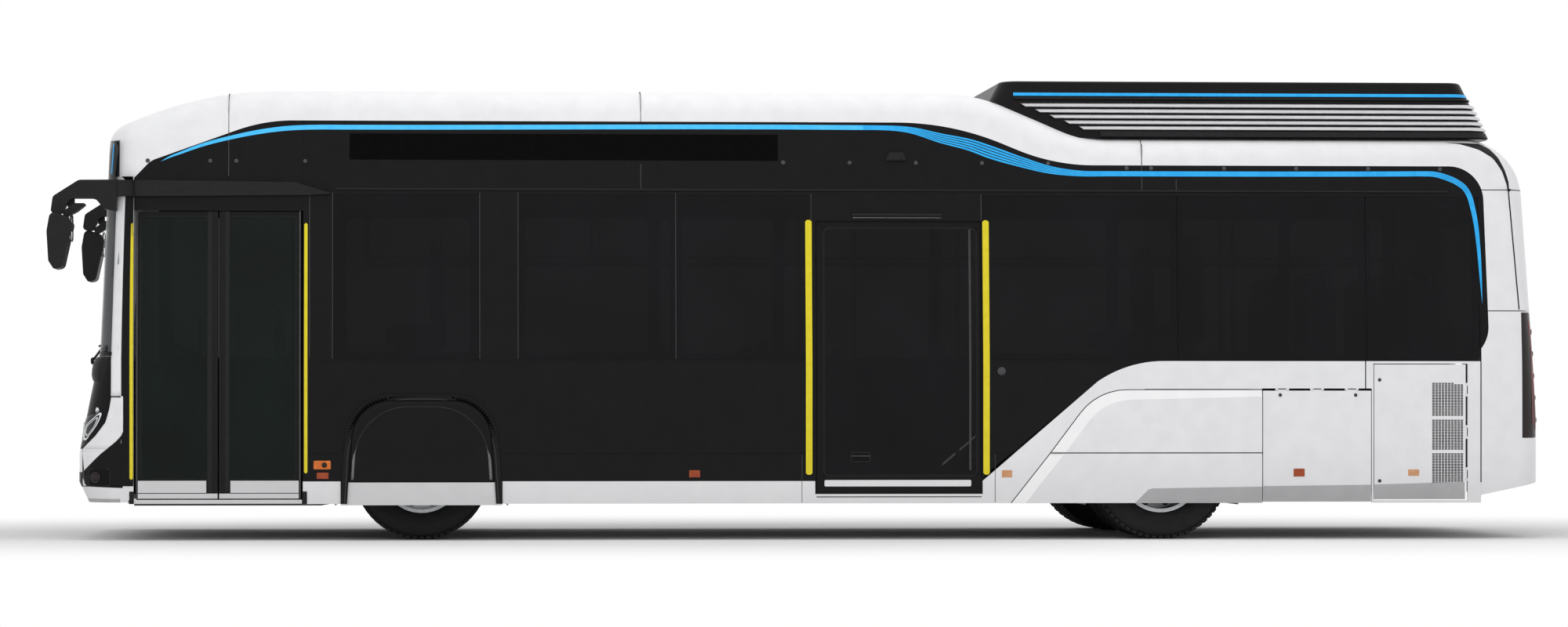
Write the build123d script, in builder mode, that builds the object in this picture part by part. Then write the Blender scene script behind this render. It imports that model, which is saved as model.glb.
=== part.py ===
from build123d import *
import os
from math import cos, radians, sin, tan

# Low-floor fuel-cell city bus.  Millimetres.  +Z up, the front looks along -X, the kerb
# side with the two passenger doors is the left side, -Y.  The origin is on the ground at
# the middle of the overall box.

os.makedirs("parts", exist_ok=True)

# ---------------------------------------------------------------- driving dimensions
BODY_WIDTH = 2490
WHEELBASE = 5340
FRONT_OVERHANG = 2450
REAR_OVERHANG = 2765
MIRROR_REACH = 200          # mirrors ahead of the bumper
WALL = 50                   # whole wall, inside lining to outside skin
GLASS = 6
SEAT_GAP = 0.3              # running and seating gap
SEAM = 5                    # gap round a pane or a lens
PANEL_GAP = 0.6             # butt joint of two fixed panels
CLEAR = 6                   # gap round anything that moves

SKIRT_Z = 262               # lowest edge of the body side
SKIRT_TOP_Z = 423
WAIST_Z = 1285
GLASS_TOP_Z = 2476
GUTTER_Z = 2504
BELT_Z = 2700               # lower edge of the white roof fairing behind the step
BELT_FRONT_Z = 3005         # and ahead of it
ROOF_Z = 3228
REAR_ROOF_Z = 2905
POD_Z = 3325
CEILING_Z = 2540
FLOOR_Z = 335
ENTRANCE_Z = 290
REAR_FLOOR_Z = 850
FLOOR_THICK = 40

LEAN_DEG = 2.9              # sides lean in above the waist
RAKE_DEG = 2.4              # windscreen leans back
FRONT_CORNER_R = 220
REAR_CORNER_R = 170

TYRE_R = 490
TYRE_WIDTH = 275
RIM_R = 298
FRONT_TRACK = BODY_WIDTH - 600
TWIN_OUTER_Y = BODY_WIDTH / 2 - 210
TWIN_SPACING = 310
KINGPIN_OFFSET = 120
HUB_R = 110

FRONT_DOOR_WIDTH = 1202
FRONT_DOOR_TOP_Z = 2356     # skin edge; the leaf stops 6 lower
MID_DOOR_WIDTH = 1200
MID_DOOR_TOP_Z = 2294
MID_DOOR_TRAVEL = 1080
LEAF_THICK = 30

# ---------------------------------------------------------------- derived stations
HALF = BODY_WIDTH / 2
X_FRONT = -(FRONT_OVERHANG + WHEELBASE + REAR_OVERHANG + MIRROR_REACH) / 2 + MIRROR_REACH
X_FA = X_FRONT + FRONT_OVERHANG
X_RA = X_FA + WHEELBASE
X_REAR = X_RA + REAR_OVERHANG
X_SCREEN = X_FRONT + 146                    # foot of the windscreen
X_DOOR0 = X_FA - 2048                       # front door jambs
X_DOOR1 = X_DOOR0 + FRONT_DOOR_WIDTH
X_MID0 = X_FA + 2826                        # middle door jambs
X_MID1 = X_MID0 + MID_DOOR_WIDTH
X_CORNER = X_REAR - 447                     # rear corner seam
X_PILLAR = X_DOOR0 - 104                    # rear edge of the wrapped windscreen
LEAF_Z0 = ENTRANCE_Z + 8


def rake(z):
    """X of the raked front face at height z."""
    return X_SCREEN + (z - 1317) * tan(radians(RAKE_DEG))


# ---------------------------------------------------------------- outlines and body volumes
def outline(*corners):
    """Closed face from (x, z, corner radius) rows; a radius of 0 stays sharp."""
    with BuildSketch() as face:
        with BuildLine():
            Polyline(*[(x, z) for x, z, _ in corners], close=True)
        make_face()
        for x, z, radius in corners:
            if radius:
                fillet(face.vertices().sort_by_distance((x, z))[0], radius)
    return face.sketch


def window(x0, x1, z0, z1, radius=0):
    """Upright rectangle as an outline."""
    return outline((x0, z0, radius), (x1, z0, radius), (x1, z1, radius), (x0, z1, radius))


def blank(inset, bottom=-100):
    """Closed body volume with every face moved in by inset."""
    with BuildPart() as body:
        with BuildSketch(Plane.XZ):
            with BuildLine():
                Line((rake(bottom), bottom), (rake(2940), 2940))
                FilletPolyline(
                    (rake(2940), 2940),
                    (X_FA - 1518, ROOF_Z),
                    (X_RA - 1350, ROOF_Z),
                    (X_RA - 548, REAR_ROOF_Z),
                    (X_REAR - 115, REAR_ROOF_Z),
                    (X_REAR, 900),
                    (X_REAR, bottom),
                    radius=[2550, 1200, 1000, 430, 2400],
                )
                Line((X_REAR, bottom), (rake(bottom), bottom))
            make_face()
            if inset:
                offset(amount=-inset, kind=Kind.INTERSECTION)
        extrude(amount=HALF, both=True)
        with BuildSketch(Plane.YZ):
            with BuildLine():
                y = HALF - inset
                y_top = y - (ROOF_Z + 200 - WAIST_Z) * tan(radians(LEAN_DEG))
                Line((0, bottom - 400), (y, bottom - 400))
                FilletPolyline((y, bottom - 400), (y, WAIST_Z), (y_top, ROOF_Z + 200), radius=4000)
                Line((y_top, ROOF_Z + 200), (0, ROOF_Z + 200))
                mirror(about=Plane.YZ)
            make_face()
        extrude(amount=X_REAR * 1.5, both=True, mode=Mode.INTERSECT)
        edges = [e for e in body.edges() if abs(e.center().Y) > HALF * 0.7]
        tall = [e for e in edges if e.bounding_box().size.Z > 60 and e.bounding_box().size.Y < 200]
        fillet([e for e in tall if e.center().X < rake(2940) + 60], FRONT_CORNER_R - inset)
        edges = [e for e in body.edges() if abs(e.center().Y) > HALF * 0.7]
        tall = [e for e in edges if e.bounding_box().size.Z > 60 and e.bounding_box().size.X < 160]
        fillet([e for e in tall if e.center().X > X_REAR - 120], REAR_CORNER_R - inset)
    return body.part


# height and setback behind the bumper of each section of the lower front
NOSE_TOP_Z = 1330
NOSE_ROWS = [(SKIRT_Z + 12, 70), (420, 0), (620, 0), (1180, 112), (NOSE_TOP_Z, 146)]


def nose(inset):
    """Closed volume of the bulging lower front."""
    back = X_DOOR0 + 200
    with BuildPart() as body:
        for row, (z, setback) in enumerate(NOSE_ROWS):
            x = X_FRONT + setback + inset
            lift = {0: inset, len(NOSE_ROWS) - 1: -inset}.get(row, 0)
            half = HALF - inset
            with BuildSketch(Plane.XY.offset(z + lift)) as section:
                with BuildLine():
                    FilletPolyline(
                        (back, half), (x, half), (x, -half), (back, -half), radius=FRONT_CORNER_R - inset
                    )
                    Line((back, -half), (back, half))
                make_face()
        loft(ruled=True)
    return body.part


BODY = {
    "arm": blank(-8),
    "outside": blank(0, SKIRT_Z),
    "glass": blank(GLASS),
    "rebate": blank(GLASS + SEAT_GAP),
    "pocket": blank(16),
    "lamp": blank(25),
    "lamp_seat": blank(25 + SEAT_GAP),
    "hatch": blank(40),
    "strip": blank(8),
    "lining": blank(WALL),
    "trim": blank(WALL + SEAT_GAP),
}


def slab(face, side, reach=HALF * 1.1):
    """An outline pushed out along Y: side -1 left, +1 right, 0 right through."""
    with BuildPart() as prism:
        with BuildSketch(Plane.XZ):
            add(face)
        if side:
            extrude(amount=-side * reach)
        else:
            extrude(amount=reach, both=True)
    return prism.part


def skin(face, side, outer="outside", inner="lining"):
    """Piece of body skin between two body volumes, inside an outline."""
    with BuildPart() as piece:
        add(slab(face, side))
        add(BODY[outer], mode=Mode.INTERSECT)
        add(BODY[inner], mode=Mode.SUBTRACT)
    return piece.part


def sunk(face, side, inner="rebate"):
    """Cutter that lowers the skin to a body volume, inside an outline."""
    with BuildPart() as cutter:
        add(slab(face, side))
        add(BODY[inner], mode=Mode.SUBTRACT)
    return cutter.part


def block(x, y, z, mode=Mode.ADD):
    """Box between (low, high) pairs."""
    with Locations(((x[0] + x[1]) / 2, (y[0] + y[1]) / 2, (z[0] + z[1]) / 2)):
        Box(x[1] - x[0], y[1] - y[0], z[1] - z[0], mode=mode)


def span(a, b):
    return (min(a, b), max(a, b))


def rod(start, end, radius, mode=Mode.ADD):
    """Round bar between two points."""
    path = Vector(*end) - Vector(*start)
    middle = Vector(*start) + path / 2
    with Locations(Plane(middle, z_dir=path)):
        Cylinder(radius, path.length, mode=mode)


def save(piece, name):
    piece.label = name
    export_step(piece, f"parts/{name}.step")


# ---------------------------------------------------------------- door linkage sizes
# Each front leaf hangs on one arm hidden above it.  The arm is half as long as the way the
# leaf's middle travels, so the leaf turns square to the body while it slides to its jamb.
JAMB_GAP = 14
CENTRE_GAP = 4
LEAF_DEPTH = 12
LEAF_TOP_Z = FRONT_DOOR_TOP_Z - CLEAR
FRAME_WIDTH = 46
PIVOT_INSET = 45            # arm pivots, in from the jambs
ARM_REACH = (FRONT_DOOR_WIDTH / 2 - CENTRE_GAP - PIVOT_INSET + 6) / 2
ARM_Z = (LEAF_TOP_Z + 7, LEAF_TOP_Z + 29)
STRIP = 8                   # skin left in front of the arms
ARM_POCKET_Z = (FRONT_DOOR_TOP_Z - 1, FRONT_DOOR_TOP_Z + 36)
HEADER_Z = (ARM_POCKET_Z[1] + 3, CEILING_Z)
POST_R = 13
POST_END_R = 9
LEAF_PIN_R = 7
PIVOT_Y = -(HALF - LEAF_DEPTH - LEAF_THICK / 2 - (LEAF_TOP_Z - WAIST_Z) * tan(radians(LEAN_DEG)))

# ---------------------------------------------------------------- side walls
BLACK_SIDE = outline(
    (X_DOOR1, SKIRT_TOP_Z, 0),
    (X_RA - 1344, SKIRT_TOP_Z, 0),
    (X_RA - 305, WAIST_Z, 850),
    (X_REAR - 382, WAIST_Z, 250),
    (X_REAR - 419, BELT_Z, 250),
    (X_RA - 778, BELT_Z, 1450),
    (X_RA - 1525, BELT_FRONT_Z, 2000),
    (X_FA - 1122, BELT_FRONT_Z, 1200),
    (X_FA - 1932, 2712, 150),
    (X_DOOR0, 2590, 0),
    (X_DOOR0, FRONT_DOOR_TOP_Z, 0),
    (X_DOOR1, FRONT_DOOR_TOP_Z, 0),
)
RIGHT_FRONT_WALL = window(X_DOOR0, X_DOOR1, SKIRT_TOP_Z, FRONT_DOOR_TOP_Z)
ARCH_HALF = 578
ARCH_TOP_Z = 1048
TRIM_WIDTH = 44


def arch(shrink):
    """Front wheel arch outline, each edge moved in by shrink."""
    half = ARCH_HALF - shrink
    top = ARCH_TOP_Z - shrink
    lean = 47
    return outline(
        (X_FA - half, SKIRT_Z - 20, 0),
        (X_FA + half, SKIRT_Z - 20, 0),
        (X_FA + half - lean, top, 330 - shrink),
        (X_FA - half + lean, top, 330 - shrink),
    )


# x0, x1, z0, z1 of each pane, then the margin of the hole behind it
SIDE_PANES = [
    (X_DOOR1 + 215, X_DOOR1 + 1268),
    (X_DOOR1 + 1538, X_DOOR1 + 2670),
    (X_DOOR1 + 2670, X_MID0 - 22),
    (X_MID1 + 14, X_RA + 107),
    (X_RA + 107, X_RA + 1482),
    (X_RA + 1482, X_RA + 2312),
]
RIGHT_EXTRA_PANES = [
    (X_DOOR0 + 60, X_DOOR1 - 130),
    (X_MID0 - 22, X_MID1 + 14),
]
HOLE_MARGIN = 45


def pane(x0, x1, shrink, radius=0):
    return window(x0 + shrink, x1 - shrink, WAIST_Z + 10 + shrink, GLASS_TOP_Z - shrink, radius)


def wall(side):
    """One side wall with its window holes, arch and door openings."""
    panes = SIDE_PANES if side < 0 else SIDE_PANES + RIGHT_EXTRA_PANES
    with BuildPart() as piece:
        add(skin(BLACK_SIDE, side))
        if side > 0:
            add(skin(RIGHT_FRONT_WALL, side))
        for x0, x1 in panes:
            add(sunk(pane(x0, x1, 0), side), mode=Mode.SUBTRACT)
            add(slab(pane(x0, x1, HOLE_MARGIN, 60), side), mode=Mode.SUBTRACT)
        add(slab(arch(0), side), mode=Mode.SUBTRACT)
        if side < 0:
            door = window(X_MID0, X_MID1, SKIRT_Z, MID_DOOR_TOP_Z)
            pocket = window(X_MID0 - 12, X_MID1 + MID_DOOR_TRAVEL + 30, SKIRT_Z, MID_DOOR_TOP_Z + 60)
            add(slab(door, side), mode=Mode.SUBTRACT)
            with BuildPart(mode=Mode.PRIVATE) as hollow:
                add(slab(pocket, side))
                add(BODY["pocket"], mode=Mode.INTERSECT)
            add(hollow.part, mode=Mode.SUBTRACT)
            with BuildPart(mode=Mode.PRIVATE) as header:
                add(slab(window(X_DOOR0, X_DOOR1, *ARM_POCKET_Z), side))
                add(BODY["strip"], mode=Mode.INTERSECT)
            add(header.part, mode=Mode.SUBTRACT)
            for x in (X_DOOR0 + PIVOT_INSET, X_DOOR1 - PIVOT_INSET):
                top = ARM_POCKET_Z[1]
                rod((x, PIVOT_Y, top - 1), (x, PIVOT_Y, top + 14), POST_END_R + SEAT_GAP, Mode.SUBTRACT)
    return piece.part


def glazing(side):
    """Flush side panes of one side."""
    panes = SIDE_PANES if side < 0 else SIDE_PANES + RIGHT_EXTRA_PANES
    with BuildPart() as piece:
        for x0, x1 in panes:
            add(skin(pane(x0, x1, SEAM / 2, 12), side, "outside", "glass"))
    return piece.part


LEFT_WALL = wall(-1)
with BuildPart() as left_side_wall:
    add(LEFT_WALL)
    block((X_DOOR1, X_REAR), (-HALF - 1, 0), (0, ROOF_Z), Mode.INTERSECT)
save(left_side_wall.part, "left_side_wall")

# the cover strip hides the arms, the board above it holds their pivots
with BuildPart() as front_door_header:
    for z0, z1 in ((FRONT_DOOR_TOP_Z - 1, ARM_POCKET_Z[1] - PANEL_GAP), (ARM_POCKET_Z[1], ROOF_Z)):
        with BuildPart(mode=Mode.PRIVATE) as board:
            add(LEFT_WALL)
            block((X_DOOR0, X_DOOR1 - PANEL_GAP), (-HALF - 1, 0), (z0, z1), Mode.INTERSECT)
        add(board.part)
save(front_door_header.part, "front_door_header")
RIGHT_WALL = wall(1)

# ---------------------------------------------------------------- roof
SIGN_Z = (2598, 2862)
SCREEN_Z = (1340, 2560)
REAR_SEAM_Z = 2528
HOOD_Z = 2590
FAR = X_REAR + 60
TANK_COVER_X = (X_FA - 1130, X_RA - 1700)
TANK_COVER_Y = HALF - 395
COVER_THICK = 20
COVER_LEDGE = 30

ROOF_REGION = outline(
    (-FAR, SIGN_Z[1] + 8, 0),
    (X_PILLAR, SIGN_Z[1] + 8, 0),
    (X_PILLAR, HOOD_Z, 0),
    (X_DOOR0 + 1, HOOD_Z, 0),
    (X_DOOR0 + 1, REAR_SEAM_Z, 0),
    (FAR, REAR_SEAM_Z, 0),
    (FAR, ROOF_Z + 100, 0),
    (-FAR, ROOF_Z + 100, 0),
)
with BuildPart() as roof_shell:
    add(skin(ROOF_REGION, 0))
    add(slab(BLACK_SIDE, 0), mode=Mode.SUBTRACT)
    low, high = TANK_COVER_X
    edge = TANK_COVER_Y
    block((low, high), (-edge, edge), (ROOF_Z - COVER_THICK, ROOF_Z + 1), Mode.SUBTRACT)
    hole_x = (low + COVER_LEDGE, high - COVER_LEDGE)
    hole_y = (COVER_LEDGE - edge, edge - COVER_LEDGE)
    block(hole_x, hole_y, (ROOF_Z - WALL - 1, ROOF_Z), Mode.SUBTRACT)
save(roof_shell.part, "roof_shell")

with BuildPart() as tank_cover:
    block((low + SEAM, high - SEAM), (SEAM - edge, edge - SEAM), (ROOF_Z - COVER_THICK, ROOF_Z))
save(tank_cover.part, "tank_cover")

POD_FOOT = (X_RA - 1362, X_RA + 2447, HALF - 155, 150)    # x0, x1, half width, corner radius
POD_TOP = (X_RA - 1132, X_RA + 2267, HALF - 260, 130)
LOUVRE_COUNT = 5
LOUVRE_PITCH = 42
LOUVRE_TALL = 18
LOUVRE_PROUD = 14
LOUVRE_TOP_Z = 3136


def pod_section(z, grow=0):
    """Rounded rectangle of the roof pod at height z."""
    part = (z - REAR_ROOF_Z) / (POD_Z - REAR_ROOF_Z)
    x0, x1, half, radius = [a + (b - a) * part for a, b in zip(POD_FOOT, POD_TOP)]
    with BuildSketch(Plane((x0 / 2 + x1 / 2, 0, z))) as section:
        RectangleRounded(x1 - x0 + 2 * grow, 2 * (half + grow), radius + grow)
    return section.sketch


with BuildPart() as pod_block:
    add(pod_section(REAR_ROOF_Z))
    add(pod_section(POD_Z))
    loft()
    fillet(pod_block.faces().sort_by(Axis.Z)[-1].edges(), 30)

with BuildPart() as roof_pod:
    add(pod_block.part)
    add(BODY["outside"], mode=Mode.SUBTRACT)
save(roof_pod.part, "roof_pod")

with BuildPart() as pod_louvres:
    for row in range(LOUVRE_COUNT):
        z = LOUVRE_TOP_Z - row * LOUVRE_PITCH
        extrude(pod_section(z, LOUVRE_PROUD), amount=LOUVRE_TALL)
    slope = (ROOF_Z - REAR_ROOF_Z) / 802
    for row in range(LOUVRE_COUNT):
        z = LOUVRE_TOP_Z - row * LOUVRE_PITCH
        start = X_RA - 1350 + (ROOF_Z - z) / slope + 130
        block((X_RA - 1500, start), (-HALF, HALF), (z - 1, z + LOUVRE_TALL + 1), Mode.SUBTRACT)
    add(pod_block.part, mode=Mode.SUBTRACT)
save(pod_louvres.part, "pod_louvres")

with BuildPart() as cabin_ceiling:
    block((X_DOOR0 + 60, X_REAR - 300), (-HALF, HALF), (CEILING_Z, CEILING_Z + 30))
    add(BODY["trim"], mode=Mode.INTERSECT)
save(cabin_ceiling.part, "cabin_ceiling")

with BuildPart() as hydrogen_tanks:
    block((low + 100, high - 100), (-780, 780), (CEILING_Z + 30, CEILING_Z + 480))
save(hydrogen_tanks.part, "hydrogen_tanks")

# ---------------------------------------------------------------- front end
FRONT_REGION = outline(
    (-FAR, NOSE_TOP_Z + PANEL_GAP, 0),
    (X_DOOR0 - PANEL_GAP, NOSE_TOP_Z + PANEL_GAP, 0),
    (X_DOOR0 - PANEL_GAP, HOOD_Z - PANEL_GAP, 0),
    (X_PILLAR - PANEL_GAP, HOOD_Z - PANEL_GAP, 0),
    (X_PILLAR - PANEL_GAP, SIGN_Z[1] + 8 - PANEL_GAP, 0),
    (-FAR, SIGN_Z[1] + 8 - PANEL_GAP, 0),
)
SCREEN_PANES = [
    window(-FAR, X_PILLAR, *SCREEN_Z),
    window(-FAR, X_PILLAR - 3, *SIGN_Z),
]
SCREEN_HOLE_HALF = HALF - 185

with BuildPart() as front_frame:
    add(skin(FRONT_REGION, 0))
    for face in SCREEN_PANES:
        add(sunk(face, 0), mode=Mode.SUBTRACT)
    for z0, z1 in (SCREEN_Z, SIGN_Z):
        hole_z = (z0 + HOLE_MARGIN, z1 - HOLE_MARGIN)
        hole_x = (-FAR, X_SCREEN + 180)
        block(hole_x, (-SCREEN_HOLE_HALF, SCREEN_HOLE_HALF), hole_z, Mode.SUBTRACT)
save(front_frame.part, "front_frame")

with BuildPart() as front_glass:
    for z0, z1 in (SCREEN_Z, SIGN_Z):
        face = window(-FAR, X_PILLAR - SEAM, z0 + SEAM / 2, z1 - SEAM / 2)
        add(skin(face, 0, "outside", "glass"))
save(front_glass.part, "front_glass")

NOSE = {"outside": nose(0), "lamp": nose(25), "lamp_seat": nose(25 + SEAT_GAP), "lining": nose(40)}
NOSE_SPLIT_Z = 638
LEAF_ROOM = 70
LAMP_EDGE = [(HALF - 485, 752), (HALF - 485, 800), (HALF + 10, 945), (HALF + 10, 728)]


def lamp_prism(side, grow=0):
    """Slanted headlamp opening, seen from the front, pushed back along X."""
    with BuildPart() as prism:
        with BuildSketch(Plane.YZ.offset(-FAR)):
            with BuildLine():
                Polyline(*[(side * y, z) for y, z in LAMP_EDGE], close=True)
            make_face()
            if grow:
                offset(amount=grow, kind=Kind.INTERSECTION)
        extrude(amount=FAR + X_PILLAR + 40)
    return prism.part


def nose_piece(z0, z1):
    with BuildPart() as piece:
        add(NOSE["outside"])
        add(NOSE["lining"], mode=Mode.SUBTRACT)
        block((-FAR, X_DOOR0 - PANEL_GAP), (-HALF - 1, HALF + 1), (z0, z1), Mode.INTERSECT)
        # the front door leaf turns in behind the side here
        block((X_DOOR0 - LEAF_ROOM, X_DOOR0), (41 - HALF, HALF - 41), (0, 2000), Mode.SUBTRACT)
    return piece.part


with BuildPart() as front_panel:
    add(nose_piece(NOSE_SPLIT_Z, NOSE_TOP_Z))
    for side in (-1, 1):
        with BuildPart(mode=Mode.PRIVATE) as pocket:
            add(lamp_prism(side))
            add(NOSE["lamp_seat"], mode=Mode.SUBTRACT)
        add(pocket.part, mode=Mode.SUBTRACT)
save(front_panel.part, "front_panel")

PLATE_HOLE_PITCH = 280
PLATE_HOLE_R = 3.5
FRONT_PLATE_Z = 520
TOW_R = 20
TOW_LONG = 140
TOW_Z = 470
TOW_Y = 560

with BuildPart() as front_bumper:
    add(nose_piece(SKIRT_Z, NOSE_SPLIT_Z - PANEL_GAP))
    for y in (-PLATE_HOLE_PITCH / 2, PLATE_HOLE_PITCH / 2):
        rod((X_FRONT - 20, y, FRONT_PLATE_Z), (X_FRONT + 60, y, FRONT_PLATE_Z), PLATE_HOLE_R, Mode.SUBTRACT)
    rod((X_FRONT + 20, TOW_Y, TOW_Z), (X_FRONT + TOW_LONG, TOW_Y, TOW_Z), 45)
    rod((X_FRONT - 1, TOW_Y, TOW_Z), (X_FRONT + TOW_LONG + 1, TOW_Y, TOW_Z), TOW_R, Mode.SUBTRACT)
save(front_bumper.part, "front_bumper")

with BuildPart() as headlamps:
    for side in (-1, 1):
        with BuildPart(mode=Mode.PRIVATE) as lens:
            add(lamp_prism(side, -SEAM / 2))
            add(NOSE["outside"], mode=Mode.INTERSECT)
            add(NOSE["lamp"], mode=Mode.SUBTRACT)
        add(lens.part)
save(headlamps.part, "headlamps")

# ---------------------------------------------------------------- hinges
BARREL_R = 7
PIN_R = 3
BARREL_LONG = 60
LUG_LONG = 18
EDGE_GAP = 8                # from a hinge axis to the edges either side


def web(centre, along, toward, length, reach):
    """Flat plate that ties a barrel to its panel or frame."""
    depth = along.cross(toward)
    corners = [
        centre + along * (a * length / 2) + toward * b + depth * (c * BARREL_R * 0.8)
        for a in (-1, 1) for b in (0, reach) for c in (-1, 1)
    ]
    block(*[(min(values), max(values)) for values in zip(*[(v.X, v.Y, v.Z) for v in corners])])


def hinge_stations(start, end, count):
    """Centres of the barrels along a hinge line."""
    first, last = Vector(*start), Vector(*end)
    return [first + (last - first) * ((k + 0.5) / count) for k in range(count)]


def barrels(start, end, toward, count=3):
    """Moving half of a hinge: bored barrels with their plates."""
    along = (Vector(*end) - Vector(*start)).normalized()
    with BuildPart() as half:
        for centre in hinge_stations(start, end, count):
            step = along * (BARREL_LONG / 2)
            rod(centre - step, centre + step, BARREL_R)
            web(centre, along, Vector(*toward), BARREL_LONG, EDGE_GAP + 6)
        for centre in hinge_stations(start, end, count):
            rod(centre - along * 40, centre + along * 40, PIN_R + SEAT_GAP, Mode.SUBTRACT)
    return half.part


def lugs(start, end, toward, count=3):
    """Fixed half of a hinge: pins held by a lug at each end."""
    along = (Vector(*end) - Vector(*start)).normalized()
    out = BARREL_LONG / 2 + 1 + LUG_LONG / 2
    with BuildPart() as half:
        for centre in hinge_stations(start, end, count):
            for sign in (-1, 1):
                lug = centre + along * (sign * out)
                rod(lug - along * (LUG_LONG / 2), lug + along * (LUG_LONG / 2), BARREL_R)
                web(lug, along, Vector(*toward), LUG_LONG, EDGE_GAP + 6)
            rod(centre - along * (out + 5), centre + along * (out + 5), PIN_R)
    return half.part


# ---------------------------------------------------------------- rear end
LID_HALF = HALF - 445
LID_Z = (500, 1290)
REAR_WINDOW_HALF = HALF - 315
REAR_WINDOW_Z = (1520, 2400)
TAIL_LAMP_Z = (730, 1640)
TAIL_LAMP_Y = HALF - 185
REAR_PLATE_Z = 1400


def rear_x(z):
    """X of the rear face at height z, above its foot."""
    return X_REAR - 115 * (z - 900) / (REAR_ROOF_Z - 900)


LID_AXIS = ((rear_x(LID_Z[1]) - BARREL_R, -LID_HALF, LID_Z[1]), (rear_x(LID_Z[1]) - BARREL_R, LID_HALF, LID_Z[1]))
LAMP_X = X_REAR - 145

with BuildPart() as rear_window_prism:
    block((X_REAR - 250, FAR), (-REAR_WINDOW_HALF, REAR_WINDOW_HALF), REAR_WINDOW_Z)

with BuildPart() as rear_frame:
    add(skin(outline(
        (X_CORNER, 318, 0),
        (FAR, 425, 0),
        (FAR, REAR_SEAM_Z - PANEL_GAP, 0),
        (X_CORNER, REAR_SEAM_Z - PANEL_GAP, 0),
    ), 0))
    add(slab(BLACK_SIDE, 0), mode=Mode.SUBTRACT)
    with BuildPart(mode=Mode.PRIVATE) as rebate:
        add(rear_window_prism.part)
        add(BODY["rebate"], mode=Mode.SUBTRACT)
    add(rebate.part, mode=Mode.SUBTRACT)
    half = REAR_WINDOW_HALF - HOLE_MARGIN
    hole_z = (REAR_WINDOW_Z[0] + HOLE_MARGIN, REAR_WINDOW_Z[1] - HOLE_MARGIN)
    block((X_REAR - 250, FAR), (-half, half), hole_z, Mode.SUBTRACT)
    block((X_REAR - 250, FAR), (-LID_HALF, LID_HALF), (LID_Z[0], LID_Z[1] + EDGE_GAP), Mode.SUBTRACT)
    for side in (-1, 1):
        with BuildPart(mode=Mode.PRIVATE) as pocket:
            block((LAMP_X, FAR), span(side * TAIL_LAMP_Y, side * (HALF + 1)), TAIL_LAMP_Z)
            add(BODY["lamp_seat"], mode=Mode.SUBTRACT)
        add(pocket.part, mode=Mode.SUBTRACT)
    for y in (-PLATE_HOLE_PITCH / 2, PLATE_HOLE_PITCH / 2):
        rod((X_REAR - 200, y, REAR_PLATE_Z), (FAR, y, REAR_PLATE_Z), PLATE_HOLE_R, Mode.SUBTRACT)
    add(lugs(*LID_AXIS, (0, 0, 1)))
save(rear_frame.part, "rear_frame")

with BuildPart() as rear_lid:
    width = (CLEAR - LID_HALF, LID_HALF - CLEAR)
    block((X_REAR - 250, FAR), width, (LID_Z[0] + CLEAR, LID_Z[1] - EDGE_GAP))
    add(BODY["outside"], mode=Mode.INTERSECT)
    add(BODY["hatch"], mode=Mode.SUBTRACT)
    add(barrels(*LID_AXIS, (0, 0, -1)))
save(rear_lid.part, "rear_lid")

with BuildPart() as rear_window:
    half = REAR_WINDOW_HALF - SEAM / 2
    block((X_REAR - 250, FAR), (-half, half), (REAR_WINDOW_Z[0] + SEAM / 2, REAR_WINDOW_Z[1] - SEAM / 2))
    add(BODY["outside"], mode=Mode.INTERSECT)
    add(BODY["glass"], mode=Mode.SUBTRACT)

with BuildPart() as window_glass:
    add(glazing(-1))
    add(glazing(1))
    add(rear_window.part)
save(window_glass.part, "window_glass")

with BuildPart() as tail_lamps:
    for side in (-1, 1):
        with BuildPart(mode=Mode.PRIVATE) as lens:
            lens_y = span(side * (TAIL_LAMP_Y + SEAM / 2), side * (HALF + 1))
            lens_z = (TAIL_LAMP_Z[0] + SEAM / 2, TAIL_LAMP_Z[1] - SEAM / 2)
            block((LAMP_X + SEAM / 2, FAR), lens_y, lens_z)
            add(BODY["outside"], mode=Mode.INTERSECT)
            add(BODY["lamp"], mode=Mode.SUBTRACT)
        add(lens.part)
save(tail_lamps.part, "tail_lamps")

# ---------------------------------------------------------------- lower sides
HATCH_X = (X_RA + 719, X_RA + 1519)
HATCH_TOP_Z = 1080
VENT_DOOR_X = (X_RA + 1536, X_RA + 2204)
VENT_DOOR_Z = (SKIRT_Z + 24, 1262)
QUARTER = outline(
    (X_MID1 + SEAM, SKIRT_Z, 0),
    (X_CORNER - PANEL_GAP, SKIRT_Z, 0),
    (X_CORNER - PANEL_GAP, WAIST_Z, 0),
    (X_RA - 305, WAIST_Z, 0),
    (X_MID1 + SEAM, SKIRT_TOP_Z, 0),
)
FILLER_X = (X_FA + 3330, X_FA + 3630)
FILLER_Z = (700, 1000)
FILLER_DEPTH = 130
RECEPTACLE_R = 12.5
RECEPTACLE_LONG = 45


def hatch_axis(side):
    """Top hinge line of the side hatch."""
    y = side * (HALF - BARREL_R)
    return (HATCH_X[0] + 20, y, HATCH_TOP_Z), (HATCH_X[1] - 20, y, HATCH_TOP_Z)


def vent_axis(side):
    """Rear hinge line of the louvred service door."""
    x = VENT_DOOR_X[1] + EDGE_GAP
    y = side * (HALF - BARREL_R)
    return (x, y, VENT_DOOR_Z[0] + 30), (x, y, VENT_DOOR_Z[1] - 30)


def filler_axis(side):
    """Front hinge line of the filler lid."""
    x = FILLER_X[0]
    y = side * (HALF - BARREL_R)
    return (x, y, FILLER_Z[0] + 10), (x, y, FILLER_Z[1] - 10)


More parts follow.
